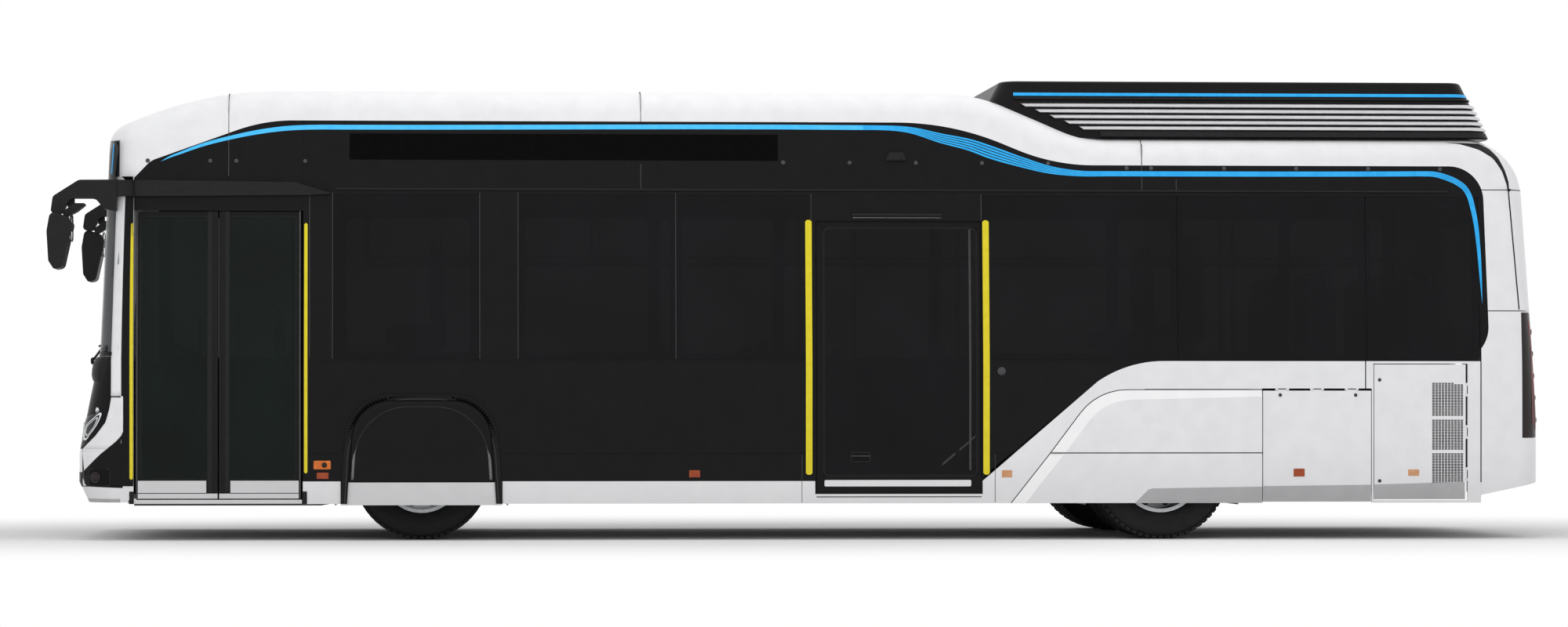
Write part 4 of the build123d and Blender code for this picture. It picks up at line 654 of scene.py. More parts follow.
def build_scatter_tree():
    """The tree, and the names by which a modifier sets its inputs."""
    tree = bpy.data.node_groups.new("place items", "GeometryNodeTree")
    face = tree.interface
    sockets = {}
    face.new_socket("Geometry", in_out="INPUT", socket_type="NodeSocketGeometry")
    for label, kind in (("Item", "NodeSocketObject"), ("Finish", "NodeSocketMaterial"),
                        ("Variation", "NodeSocketFloat"), ("Seed", "NodeSocketInt")):
        sockets[label] = face.new_socket(label, in_out="INPUT", socket_type=kind).identifier
    face.new_socket("Geometry", in_out="OUTPUT", socket_type="NodeSocketGeometry")
    given = add_node(tree, "NodeGroupInput").outputs
    item = add_node(tree, "GeometryNodeObjectInfo", {"Object": given["Item"]})
    outward = add_node(tree, "GeometryNodeInputNamedAttribute", {"Name": "outward"},
                       data_type="FLOAT_VECTOR")
    along = add_node(tree, "GeometryNodeInputNamedAttribute", {"Name": "along"},
                     data_type="FLOAT_VECTOR")
    turn = add_node(tree, "FunctionNodeAxesToRotation", {
        "Primary Axis": outward.outputs["Attribute"], "Secondary Axis": along.outputs["Attribute"]},
        primary_axis="Z", secondary_axis="X")
    lowest = add_node(tree, "ShaderNodeMath", {0: 1.0, 1: given["Variation"]}, operation="SUBTRACT")
    chance = add_node(tree, "FunctionNodeRandomValue", {
        "Min": lowest.outputs[0], "Max": 1.0, "Seed": given["Seed"]}, data_type="FLOAT")
    placed = add_node(tree, "GeometryNodeInstanceOnPoints",
                      {"Points": given["Geometry"], "Instance": item.outputs["Geometry"],
                       "Rotation": turn.outputs["Rotation"], "Scale": chance.outputs[1]})
    solid = add_node(tree, "GeometryNodeRealizeInstances",
                     {"Geometry": placed.outputs["Instances"]})
    painted = add_node(tree, "GeometryNodeSetMaterial", {
        "Geometry": solid.outputs["Geometry"], "Material": given["Finish"]})
    add_node(tree, "NodeGroupOutput", {"Geometry": painted.outputs["Geometry"]})
    return tree, sockets


scatter_tree, scatter_inputs = build_scatter_tree()


def placed_items(name, item, spots, material, body="body", slot=None, variation=0.0, smooth=False):
    """One mesh of items at (point, outward, along) spots; the item mesh is used up."""
    pattern = bpy.data.objects.new(name + "_item", item)
    host = bpy.data.objects.new(name + "_host", bpy.data.meshes.new(name + "_host"))
    host.data.from_pydata([tuple(spot[0]) for spot in spots], [], [])
    for index, label in ((1, "outward"), (2, "along")):
        values = host.data.attributes.new(label, "FLOAT_VECTOR", "POINT")
        values.data.foreach_set("vector", [v for spot in spots for v in spot[index]])
    for thing in (pattern, host):
        bpy.context.scene.collection.objects.link(thing)
    grown = host.modifiers.new("place items", "NODES")
    grown.node_group = scatter_tree
    for label, value in (("Item", pattern), ("Finish", material), ("Variation", variation),
                         ("Seed", SEED)):
        grown[scatter_inputs[label]] = value
    graph = bpy.context.evaluated_depsgraph_get()
    graph.update()
    mesh = bpy.data.meshes.new_from_object(host.evaluated_get(graph))
    for thing in (pattern, host):
        bpy.data.objects.remove(thing)
    for label in ("outward", "along"):
        if label in mesh.attributes:
            mesh.attributes.remove(mesh.attributes[label])
    return place_mesh(name, mesh, material, body, slot, smooth)


def circle(radius, count, z=0.0, centre=(0, 0)):
    """Points of a level circle."""
    return [(centre[0] + radius * math.cos(math.tau * k / count),
             centre[1] + radius * math.sin(math.tau * k / count), z) for k in range(count)]


def item_mesh(rings, bevel=0.0):
    """Closed mesh through rings of equal count, bottom to top."""
    shape = bmesh.new()
    loops = [[shape.verts.new(point) for point in ring] for ring in rings]
    count = len(rings[0])
    shape.faces.new(loops[0][::-1])
    shape.faces.new(loops[-1])
    for low, high in zip(loops, loops[1:]):
        for k in range(count):
            shape.faces.new((low[k], low[(k + 1) % count], high[(k + 1) % count], high[k]))
    if bevel:
        bmesh.ops.bevel(shape, geom=shape.edges[:], offset=bevel, segments=1, affect="EDGES")
    mesh = bpy.data.meshes.new("item")
    shape.to_mesh(mesh)
    shape.free()
    return mesh


def item_block(size, bevel=0.0, taper=1.0):
    """Block standing on its base, optionally narrower at the top."""
    corners = [(sx * size[0] / 2, sy * size[1] / 2)
               for sx, sy in ((-1, -1), (1, -1), (1, 1), (-1, 1))]
    return item_mesh([[(x * share, y * share, z) for x, y in corners]
                      for share, z in ((1.0, 0.0), (taper, size[2]))], bevel)


def turned_items(name, profile, sides, spots, material, body="body", slot=None, variation=0.0,
                 smooth=True):
    """Items turned about their own axis from (radius, height) points, one on every spot."""
    item = item_mesh([circle(radius, sides, height) for radius, height in profile])
    return placed_items(name, item, spots, material, body, slot, variation, smooth)


def side_spots(places, side, lift=0.0):
    """Spots on the side at (x, z) places, facing out."""
    spots = []
    for x, z in places:
        tilt = (skin_y(x, z + 0.01) - skin_y(x, z - 0.01)) / 0.02
        out = Vector((0, side, -tilt)).normalized()
        spots.append(((x, side * (skin_y(x, z) + lift), z), out, (1, 0, 0)))
    return spots

# %% [markdown]
# The roof fairing is one white moulding with soft shoulders. The real one is laid up in a
# mould with generous radii. Here the sharp CAD shell is cut by a smooth closed form that
# follows the roof line and rounds each shoulder, so its openings stay exactly where they are.

# %% Roof fairing
ROOF_LINE = arc_line([(screen_x(2.94), 2.94, 0), (FRONT_AXLE - 1.518, ROOF, 2.55),
                      (REAR_AXLE - 1.35, ROOF, 1.2), (REAR_AXLE - 0.548, REAR_ROOF, 1.0),
                      (REAR - 0.115, REAR_ROOF, 0.43), (REAR, 0.9, 0)], step=math.radians(3))
SHOULDER = 0.11


def roof_z(x):
    """Height of the roof line at x."""
    for a, b in zip(ROOF_LINE, ROOF_LINE[1:]):
        if a.x <= x <= b.x and b.x > a.x:
            return a.y + (b.y - a.y) * (x - a.x) / (b.x - a.x)
    return ROOF_LINE[0].y


def shoulder_section(x, proud=0.0004, steps=7):
    """Half section at x from the skirt up the side and round the shoulder to the centre."""
    top = roof_z(x) + proud
    middle_z = top - SHOULDER
    half = skin_y(x, middle_z) + proud
    middle_y = max(0.05, half - SHOULDER / math.cos(math.radians(LEAN_ANGLE)))
    line = [(skin_y(x, z) + proud, z) for z in (1.0, 1.25, 1.33, 1.6)]
    for k in range(steps + 1):
        turn = math.radians(LEAN_ANGLE + (90 - LEAN_ANGLE) * k / steps)
        line.append((middle_y + SHOULDER * math.cos(turn), middle_z + SHOULDER * math.sin(turn)))
    return line


stations = [FRONT - 0.01 + 0.02 * k for k in range(24)]
stations += [stations[-1] + 0.06 * k for k in range(1, 30)]
while stations[-1] < REAR - 0.75:
    stations.append(stations[-1] + 0.1)
stations += [REAR - 0.7 + 0.02 * k for k in range(36)]
sections = [(x, shoulder_section(x)) for x in stations]
form = lofted("roof_form", [[(x, -y, z) for y, z in half] + [(x, y, z) for y, z in reversed(half)]
                            for x, half in sections], white_enamel)


def cut_copy(name, node, cutter, material, slot, operation="INTERSECT"):
    """Copy of a CAD node cut by a closed form, standing in for the node."""
    shape = bmesh.new()
    shape.from_mesh(nodes[node].data)
    bmesh.ops.remove_doubles(shape, verts=shape.verts, dist=2e-5)
    mesh = bpy.data.meshes.new(name)
    shape.to_mesh(mesh)
    shape.free()
    piece = place_mesh(name, mesh, material, slot=slot)
    cut = piece.modifiers.new("cut", "BOOLEAN")
    cut.operation = operation
    cut.solver = "EXACT"
    cut.object = cutter
    baked = bpy.data.meshes.new_from_object(piece.evaluated_get(
        bpy.context.evaluated_depsgraph_get()))
    piece.modifiers.clear()
    piece.data = baked
    baked.name = name
    baked.materials.clear()
    baked.materials.append(material)
    for key, value in (("material_index", 0), ("use_smooth", True)):
        baked.polygons.foreach_set(key, [value] * len(baked.polygons))
    baked.set_sharp_from_angle(angle=math.radians(22))
    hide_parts(node)
    return piece


fairing = cut_copy("roof_fairing", "roof_shell", form, white_enamel, "white")
bpy.data.objects.remove(form)
print("roof fairing:", len(fairing.data.polygons), "faces")

# %% [markdown]
# A fairing this long is made in lengths. The joints show as thin dark lines that run up the
# side and over the shoulders.

# %% Roof joints
JOINTS = (-4.104, -1.156, 2.468)
JOINT = 0.0045


def over_roof(x, z_from, lift):
    """Points up the side from z_from, over the shoulders and down the other side."""
    start = [(skin_y(x, z) + lift, z) for z in (z_from, z_from + 0.12)]
    line = start + [spot for spot in shoulder_section(x, lift, steps=8)[4:]
                    if spot[1] > z_from + 0.13]
    return [(x, -y, z) for y, z in line] + [(x, y, z) for y, z in reversed(line)]


for number, x in enumerate(JOINTS, 1):
    strap = [list(zip(*(over_roof(edge, GUTTER, lift) for edge in (x - JOINT / 2, x + JOINT / 2))))
             for lift in (0.0003, -0.0015)]
    shell(f"roof_joint_{number}", *strap, joint_and_hole_shade_black, slot="white")

# %% [markdown]
# The sides carry one blue ribbon. It starts as a point above the front door, runs level
# under the roof edge, opens into a fan of five strands where the roof steps down, closes
# again, and turns down behind the last window to end in a point. It is cut vinyl film, so it
# is laid on the skin as thin solids.

# %% Blue ribbon
# x, z of the middle, width, share of the width left open between strands
RIBBON = [(-4.588, 2.707, 0.000, 0.0), (-4.520, 2.741, 0.012, 0.0), (-4.449, 2.768, 0.016, 0.0),
          (-4.304, 2.822, 0.022, 0.0), (-4.059, 2.887, 0.027, 0.0), (-3.891, 2.921, 0.031, 0.0),
          (-3.696, 2.947, 0.033, 0.0), (-3.450, 2.957, 0.034, 0.0), (-3.300, 2.957, 0.034, 0.0),
          (0.450, 2.967, 0.034, 0.0), (0.590, 2.966, 0.034, 0.0), (0.700, 2.961, 0.038, 0.03),
          (0.785, 2.951, 0.045, 0.10), (1.012, 2.892, 0.073, 0.30), (1.239, 2.839, 0.091, 0.32),
          (1.352, 2.799, 0.098, 0.32), (1.579, 2.726, 0.080, 0.28), (1.806, 2.665, 0.057, 0.20),
          (2.006, 2.641, 0.042, 0.10), (2.250, 2.639, 0.037, 0.0), (2.400, 2.639, 0.037, 0.0),
          (4.400, 2.644, 0.037, 0.0), (4.520, 2.645, 0.037, 0.0), (4.612, 2.641, 0.039, 0.05),
          (4.690, 2.620, 0.042, 0.12), (4.766, 2.588, 0.042, 0.14), (4.828, 2.542, 0.040, 0.12),
          (4.862, 2.484, 0.038, 0.06), (4.882, 2.412, 0.036, 0.0), (4.902, 2.314, 0.033, 0.0),
          (4.922, 2.133, 0.027, 0.0), (4.936, 1.902, 0.017, 0.0), (4.945, 1.699, 0.000, 0.0)]
STRANDS, NO_GAP = 5, 0.005


def heading(back, ahead, before, after):
    """Direction through a point, from the steps on either side and their lengths."""
    return (back / before * after + ahead / after * before) / (before + after)


def smoothed(rows, steps=6):
    """Smooth line through rows of numbers, even where their spacing changes a lot."""
    line = []
    for k in range(len(rows) - 1):
        a, b, c, d = (Vector(rows[min(max(k + n, 0), len(rows) - 1)]) for n in (-1, 0, 1, 2))
        before, here, after = ((q - p).to_2d().length for p, q in ((a, b), (b, c), (c, d)))
        leave = c - b if before == 0 else heading(b - a, c - b, before, here) * here
        arrive = c - b if after == 0 else heading(c - b, d - c, here, after) * here
        for step in range(steps):
            t = step / steps
            line.append(list(b * (2 * t ** 3 - 3 * t * t + 1) + leave * (t ** 3 - 2 * t * t + t)
                             + c * (3 * t * t - 2 * t ** 3) + arrive * (t ** 3 - t * t)))
    line.append(list(rows[-1]))
    return line


def ribbon_edges(line, low, high):
    """Edges of one strand of a ribbon, at two shares of its width, drawn in by half of any gap."""
    middle = [Vector(row[:2]) for row in line]
    return [beside(middle,
                   [row[2] * (share - 0.5 + sign * (row[3] if row[3] > NO_GAP else 0) / STRANDS / 2)
                    for row in line]) for share, sign in ((low, 1), (high, -1))]


ribbon = smoothed(RIBBON)
split = min(range(len(ribbon)), key=lambda k: abs(ribbon[k][0] - 0.3))
for side, name in SIDES:
    front = ribbon_edges([row[:3] + [0] for row in ribbon[:split + 1]], 0, 1)
    band(f"{name}_ribbon_front", *front, on_side(side), pale_blue_film)
    strands = [band(f"strand_{k}", *ribbon_edges(ribbon[split:], k / STRANDS, (k + 1) / STRANDS),
                    on_side(side), blue_film) for k in range(STRANDS)]
    joined(f"{name}_ribbon_rear", strands)
print("ribbon:", len(ribbon), "points,", STRANDS, "strands")

# %% [markdown]
# Below the ribbon the black side is divided by the drip gutter, the waist joint and the
# upright joints between panels. Each is a narrow dark line with a slightly raised lip where
# the real one is a moulding.

# %% Side joints and mouldings
LINE = 0.007
# x, z0, z1 of upright joints; the first is on the door side only
UPRIGHTS = ((-3.527, 1.30, 2.49), (-3.3635, 1.30, 2.49), (-2.312, 1.30, 2.49),
            (-2.0375, 1.30, 2.49), (-0.907, 1.30, 2.49), (-1.156, 2.51, 2.70), (2.719, 2.51, 2.60),
            (0.0695, 2.30, 2.49), (1.2988, 2.30, 2.49))
MID_LIMITS = (MID0 - 0.03, MID1 + 0.03)
for side, name in SIDES:
    place = on_side(side)
    seams = []
    levels = [(DOOR1 + 0.02, 4.72, GUTTER)]
    if side < 0:
        levels += [(DOOR1, MID_LIMITS[0], 1.281), (MID_LIMITS[1], 2.30, 1.281),
                   (DOOR1, -3.30, 0.619), (-2.14, MID_LIMITS[0], 0.619),
                   (MID_LIMITS[1], 1.52, 0.619)]
    else:
        levels += [(DOOR0, 2.30, 1.281), (DOOR0, -3.30, 0.619), (-2.14, 1.52, 0.619)]
    for k, (x0, x1, z) in enumerate(levels):
        count = max(2, int((x1 - x0) / 0.25))
        seams.append(rect(f"seam_{k}", x0, x1, z - LINE / 2, z + LINE / 2, place, joint_and_hole_shade_black,
                          count, lift=0.0005))
    joined(f"{name}_side_seams", seams)
    joined(f"{name}_upright_seams", [
        rect("upright", x - LINE / 3, x + LINE / 3, z0, z1, place, panel_edge, 2, 8, lift=0.0005)
        for x, z0, z1 in UPRIGHTS[side > 0:]])
    soften(band(f"{name}_drip_gutter",
                *(level(DOOR1 + 0.23, 4.70, GUTTER + rise, 40) for rise in (0.004, 0.018)), place,
                satin_black, lift=0.007, thick=0.009, rows=2), 0.003)

# %% [markdown]
# Round caps hide the bolts that hold the roof-edge panels. They stand in two rows, level
# with the foot of the ribbon, and are pressed plastic domes.

# %% Bolt caps
CAP_ROW_FRONT = [-4.68, -4.235, -4.05, -3.56] + [-0.13 + 0.4795 * k for k in range(5)]
CAP_ROW_REAR = [2.359, 2.537] + [3.069 + 0.5267 * k for k in range(4)]
caps = [(x, 2.713) for x in CAP_ROW_FRONT] + [(x, 2.679) for x in CAP_ROW_REAR]
for side, name in SIDES:
    turned_items(f"{name}_bolt_caps",
                 [(0.0155, -0.001), (0.0155, 0.002), (0.0135, 0.0045), (0.007, 0.0058)], 20,
                 side_spots(caps, side), grey_plastic, slot="black", variation=0.06)

# %% [markdown]
# The display panel over the windows is a plain black sheet with a fine frame. A small marker
# lamp sits over the middle door, and a reflector and lamp row runs along the skirt.

# %% Display panels, marker lamps and reflectors
DISPLAY = (-3.242, -0.169, 2.726, 2.912)
for side, name in SIDES:
    place = on_side(side)
    rect(f"{name}_display_panel", *DISPLAY, place, display_black, 24, 3, lift=0.0022, thick=0.003)
    rect(f"{name}_display_edge", *grown_box(DISPLAY, 0.004), place, joint_and_hole_shade_black, 24, 3, lift=0.001,
         thick=0.0015)

HOUSING_AT = (0.684, 2.7565)
# plan of the lamp housing, and rows of (share of the plan, depth)
HOUSING_PLAN = [(-0.085, -0.036), (0.085, -0.036), (0.078, -0.005), (0.056, 0.036), (-0.056, 0.036),
                (-0.078, -0.005)]
HOUSING_ROWS = [(1.0, 0.0), (0.94, 0.012), (0.82, 0.024), (0.6, 0.031), (0.3, 0.033)]


def housing(name, x, z, side, material):
    """Low rounded marker lamp housing on the side."""
    y = skin_y(x, z) - 0.001
    rings = [[(x + dx * share, side * (y + depth), z + dz * share) for dx, dz in HOUSING_PLAN]
             for share, depth in HOUSING_ROWS]
    return soften(lofted(name, rings, material, slot="grey_plastic"), 0.004, 3, 20)


def side_box(name, x0, x1, z0, z1, side, deep, material, slot, bevel=0.004, body="body",
             sink=0.001):
    """Shallow rounded box on the side."""
    y = side * (skin_y((x0 + x1) / 2, z0) - sink)
    outer = y + side * (deep + sink)
    return blocks(name, [((x0, min(y, outer), z0), (x1, max(y, outer), z1))], material, body, slot,
                  bevel)


# x0, x1, z0, z1, finish
REFLECTORS = ((-3.4750, -3.3910, 0.441, 0.486, deep_amber),
              (-0.813, -0.735, 0.450, 0.501, deep_amber), (1.441, 1.515, 0.448, 0.499, pale_amber))
TURN_LAMP = (-3.503, -3.369, 0.503, 0.576)
for side, name in SIDES:
    housing(f"{name}_marker_lamp", *HOUSING_AT, side, satin_black)
    for number, (*place, finish) in enumerate(REFLECTORS, 1):
        side_box(f"{name}_reflector_{number}", *place, side, 0.003, finish, "red_lens", 0.0015)
    side_box(f"{name}_turn_lamp_base", *TURN_LAMP, side, 0.006, satin_black, "grey_plastic", 0.005)
    side_box(f"{name}_turn_lamp", *grown_box(TURN_LAMP, -0.005), side, 0.017, amber_lens,
             "red_lens", 0.008)
    turned_items(f"{name}_turn_lamp_bulb",
                 [(0.019, 0.0), (0.019, 0.004), (0.015, 0.008), (0.006, 0.010)], 20,
                 side_spots([(-3.42, 0.5395)], side, 0.0165), smoked_lens, slot="grey_plastic")
print("side lamps and reflectors set")

# %% [markdown]
# The doors carry the small parts that make them look used every day: yellow warning strips
# on the jambs, white kick strips, glass gaskets, rubber ribs where the leaves meet and a hand
# bar inside. Each part that belongs to a leaf rides on it, so it swings or slides along.

# %% Plates with clipped corners and edgings round glass
def plate(name, x0, x1, z0, z1, cut, place, material, rows=14, **more):
    """Rectangle with clipped corners laid on the side."""
    xs, clips = (x0, x0 + cut, x1 - cut, x1), (cut, 0, 0, cut)
    return band(name, [Vector((x, z0 + c)) for x, c in zip(xs, clips)],
                [Vector((x, z1 - c)) for x, c in zip(xs, clips)], place, material, rows=rows,
                **more)


def outline(x0, x1, z0, z1, radius, rows=14, steps=4):
    """Closed rounded rectangle, with extra points up its long sides."""
    line = []
    for x, z, start in ((x1 - radius, z0 + radius, -90), (x1 - radius, z1 - radius, 0),
                        (x0 + radius, z1 - radius, 90), (x0 + radius, z0 + radius, 180)):
        for k in range(steps + 1):
            turn = math.radians(start + 90 * k / steps)
            line.append(Vector((x + radius * math.cos(turn), z + radius * math.sin(turn))))
        if start in (-90, 90):
            sign = 1 if start < 0 else -1
            tall = z1 - z0 - 2 * radius
            line += [line[-1] + Vector((0, sign * tall * k / rows)) for k in range(1, rows)]
    return line


def edging(name, x0, x1, z0, z1, wide, place, material, radius=0.03, **more):
    """Ring of constant width just inside a rounded rectangle."""
    outer = outline(x0, x1, z0, z1, radius)
    inner = outline(*grown_box((x0, x1, z0, z1), -wide), max(0.004, radius - wide))
    return band(name, inner, outer, place, material, ring=True, **more)


LEAF_DEEP, MID_DEEP = 0.012, 0.021
on_left = on_side(-1)
on_leaf = on_side(-1, lambda x, z: side_y(z) - LEAF_DEEP)
on_mid = on_side(-1, lambda x, z: side_y(z) - MID_DEEP)

# %% [markdown]
# Front door. The black jamb joins the windscreen to the first leaf, with a yellow strip on
# either side of the doorway. A white strip covers the rear edge of the windscreen.

# %% Front door jambs
corner_left = on_corner(-1)
for name, place in (("front_jamb", corner_left), ("right_jamb", on_corner(1))):
    rect(name, DOOR0 - 0.0865, DOOR0 - 0.001, 0.39, 2.595, place, black_enamel, 16, 90, lift=0.0024)
plate("front_jamb_yellow", DOOR0 - 0.0275, DOOR0 - 0.0035, 0.437, 2.265, 0.009, corner_left,
      yellow_film, 90, lift=0.0060, thick=0.004)
plate("rear_jamb_yellow", DOOR1 + 0.0085, DOOR1 + 0.0325, 0.481, 2.268, 0.009, on_left, yellow_film,
      24, lift=0.0018, thick=0.002)
SCREEN_STRIP = (DOOR0 - 0.1595, DOOR0 - 0.0895)
for side, name in SIDES:
    place = on_corner(side)
    rect(f"{name}_screen_edge_strip", *SCREEN_STRIP, 1.03, 2.56, place, white_enamel, 5, 30,
         lift=0.003, thick=0.005, slot="white", smooth=True)
    rect(f"{name}_screen_edge_seam", *SCREEN_STRIP, 1.023, 1.0305, place, joint_and_hole_shade_black,
         5, 1, lift=0.0042)
print("jambs at", DOOR0, DOOR1)

# %% Front door leaves
CLEAR = 0.005                        # stiles and ribs end this far below what is over them
LEAVES = (("front_leaf", "front_door_front_leaf", "front_door_front_glass", 1),
          ("rear_leaf", "front_door_rear_leaf", "front_door_rear_glass", -1))
for name, leaf, pane, inward in LEAVES:
    low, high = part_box(leaf)
    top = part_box("front_door_header")[0].z - CLEAR
    glass_low, glass_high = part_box(pane)
    meeting = high.x if inward > 0 else low.x
    outer = low.x if inward > 0 else high.x
    kick = [rect("kick", *sorted((outer + inward * 0.016, meeting - inward * end)), z0, z1, on_leaf,
                 skirt_enamel, 2, rows, lift=0.0034, thick=0.004, body=leaf)
            for end, z0, z1, rows in ((0.082, 0.342, 0.428, 2), (0.002, 0.301, 0.3365, 1))]
    joined(f"{name}_kick_strip", kick)
    edging(f"{name}_gasket", glass_low.x - 0.006, glass_high.x + 0.006, 0.430, glass_high.z + 0.006,
           0.014, on_leaf, rubber_seal, 0.03, lift=0.003, thick=0.004, body=leaf)
    rect(f"{name}_meeting_stile", *sorted((meeting - inward * 0.074, meeting - inward * 0.001)),
         0.345, top, on_leaf, satin_black, 2, 24, lift=0.0042, thick=0.005, body=leaf)
    joined(f"{name}_rubber_ribs",
           [soften(rect("rib", x - 0.0045, x + 0.0045, 0.347, top - 0.001, on_leaf, rubber_seal, 2,
                        24, lift=0.0085, thick=0.008, body=leaf), 0.002)
            for x in (meeting - inward * at for at in (0.006, 0.021, 0.036))])
    rect(f"{name}_edge_bar", *sorted((outer + inward * 0.002, outer + inward * 0.014)),
         low.z + 0.002, high.z - 0.004, on_leaf, panel_edge, 2, 24, lift=0.002, thick=0.003,
         body=leaf)
    x = meeting - inward * 0.13
    bar = [(x, LEAF_DEEP + inside - side_y(z), z)
           for z, inside in ((0.9, 0.03), (0.93, 0.075), (0.96, 0.075), (1.25, 0.075),
                             (1.54, 0.075), (1.57, 0.075), (1.6, 0.03))]
    tube(f"{name}_hand_bar", bar, 0.014, orange_rail, leaf, "handrail")
side_box("front_door_sill", DOOR0 - 0.04, DOOR1 - 0.006, 0.264, 0.2925, -1, 0.0, skirt_enamel,
         "white", 0.004, sink=0.05)
print("front door leaves finished")

# %% [markdown]
# Middle door. It is one wide plug leaf, sunk a little in its opening, with a light rail
# above, yellow strips on both sides, a guide bar near its closing edge and a recessed handle.

# %% Middle door
for name, x0, x1 in (("front", MID0 - 0.072, MID0 - 0.0256),
                     ("rear", MID1 + 0.0085, MID1 + 0.0545)):
    plate(f"mid_jamb_yellow_{name}", x0, x1, 0.468, 2.299, 0.012, on_left, yellow_film, 24,
          lift=0.0018, thick=0.002)
joined("mid_door_light_rail", [
    side_box("rail", MID0 + 0.2615, MID0 + 0.915, z0, z1, -1, deep, satin_black, "black", bevel)
    for z0, z1, deep, bevel in ((2.327, 2.347, 0.022, 0.005), (2.316, 2.3265, 0.016, 0.003))])
side_box("mid_door_light_lens", MID0 + 0.27, MID0 + 0.907, 2.3135, 2.3175, -1, 0.0145, lens_clear,
         "clear_lens", 0.001)
mid_low, mid_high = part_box("mid_door_leaf")
plate("mid_kick_strip", mid_low.x + 0.0585, mid_high.x - 0.0965, 0.383, 0.429, 0.006, on_mid,
      white_enamel, 3, lift=0.0012, body="mid_door", slot="white")
pane_low, pane_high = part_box("mid_door_glass")
edging("mid_gasket", *grown_box((pane_low.x, pane_high.x, pane_low.z, pane_high.z), 0.004), 0.018,
       on_mid, rubber_seal, 0.05, lift=0.003, thick=0.004, body="mid_door")
soften(rect("mid_guide_bar", mid_high.x - 0.1105, mid_high.x - 0.0945, 0.50, 2.24, on_mid,
            panel_edge, 2, 24, lift=0.003, thick=0.004, body="mid_door"), 0.0015)
edging("mid_handle_rim", mid_low.x + 0.2465, mid_low.x + 0.3915, 0.557, 0.631, 0.008, on_mid,
       satin_black, 0.016, lift=0.004, thick=0.005, body="mid_door")
# flat black sheet: painted shade of the handle recess
plate("mid_handle_recess", mid_low.x + 0.2535, mid_low.x + 0.3845, 0.564, 0.624, 0.008, on_mid,
      joint_and_hole_shade_black, 2, lift=0.0012, body="mid_door")
rect("mid_handle_grip", mid_low.x + 0.2535, mid_low.x + 0.3845, 0.598, 0.606, on_mid, panel_edge, 2,
     1, lift=0.004, thick=0.003, body="mid_door")
gear_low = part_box("door_gear")[0]
joined("mid_rubber_ribs",
       [soften(rect("rib", x - 0.004, x + 0.004, mid_low.z + 0.006, gear_low.z - CLEAR, on_mid,
                    rubber_seal, 2, 24, lift=0.004, thick=0.005, body="mid_door"), 0.002)
        for x in (mid_low.x + 0.008, mid_low.x + 0.022, mid_high.x - 0.008)])
side_box("mid_threshold", MID0 + 0.004, MID1 - 0.004, 0.306, 0.312, -1, 0.003, panel_edge, "black",
         0.001)
turned_items("door_button",
             [(0.030, -0.001), (0.030, 0.006), (0.027, 0.009), (0.020, 0.0095), (0.019, 0.013),
              (0.010, 0.015)], 28, side_spots([(MID1 + 0.14, 1.211)], -1), grey_plastic,
             slot="grey_plastic")
joined("left_skirt_seams",
       [rect("seam", x - 0.002, x + 0.002, 0.268, 0.612, on_left, panel_edge, 2, 2, lift=0.0006)
        for x in (MID0 - 0.1005, MID1 + 0.094)])
print("middle door finished")

# %% [markdown]
# Round each front wheel runs a broad rubber-edged trim, raised a few millimetres. Inside it, a
# lighter grey band paints the highlight on the rounded rim of the cover. The trim is laid
# between two lines round the arch.

# %% Front wheel arch trims and painted cover highlight
ARCH_OUTER = [(-0.578, 0.262, 0), (-0.531, 1.026, 0.44), (0.531, 1.026, 0.44), (0.578, 0.262, 0)]
ARCH_INNER = [(-0.519, 0.262, 0), (-0.475, 0.980, 0.40), (0.475, 0.980, 0.40), (0.519, 0.262, 0)]


def arcs_at(axle, corners, count):
    """Line through corners given from an axle, as equally spaced points."""
    return spaced(arc_line([(axle + x, z, r) for x, z, r in corners]), count)


inner_line, outer_line = (arcs_at(FRONT_AXLE, line, 61) for line in (ARCH_INNER, ARCH_OUTER))
COVER_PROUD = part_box("front_wheel_covers")[1].y - HALF
COVER_ROUND = 0.045
TRIM_OVERLAP = 0.012                 # the trim hides this much of the cover
HIGHLIGHT_ROWS = (0.001, 0.006, 0.012, 0.018, 0.024)
FOOT_TOP = 0.4155


def round_height(inset):
    """How far the cover stands out at a distance in from its edge."""
    return COVER_PROUD - COVER_ROUND + math.sqrt(
        max(0.0, COVER_ROUND ** 2 - (COVER_ROUND - inset) ** 2))


for side, name in SIDES:
    soften(band(f"{name}_arch_trim", inner_line, outer_line, on_side(side), rubber_seal,
                lift=0.0185, thick=0.012, rows=2), 0.005, 3)
    # lighter grey band over the cover's rounded rim: a painted highlight
    rings = [[(p.x, side * (HALF + round_height(inset + TRIM_OVERLAP) + 0.0012), p.y)
              for p in beside(inner_line, -inset)[2:-2] if p.y > FOOT_TOP] for inset in HIGHLIGHT_ROWS]
    count = min(len(ring) for ring in rings)
    rings = [ring[:count] for ring in rings]
    behind = [[(x, y - side * 0.002, z) for x, y, z in ring] for ring in rings]
    shell(f"{name}_cover_gleam", rings, behind, cover_highlight_grey, smooth=True)
    hair = beside(inner_line, 0.030)
    band(f"{name}_arch_line", beside(hair, -0.0025), beside(hair, 0.0025), on_side(side),
         panel_edge, lift=0.0197, thick=0.002)


cutter = lofted("cutter", [[(FRONT_AXLE + x, y, z) for x, y in ((-1, -2), (1, -2), (1, 2), (-1, 2))]
                           for z in (0.0, FOOT_TOP)], white_enamel)
cut_copy("wheel_cover_foot", "front_wheel_covers", cutter, skirt_enamel, "white")
cut_copy("wheel_cover_upper", "front_wheel_covers", cutter, black_enamel, "black", "DIFFERENCE")
bpy.data.objects.remove(cutter)
print("arch trims:", len(inner_line), "stations each")

# %% [markdown]
# The lower corner of the rear is a set of separate white panels. Their joints are thin dark
# gaps.

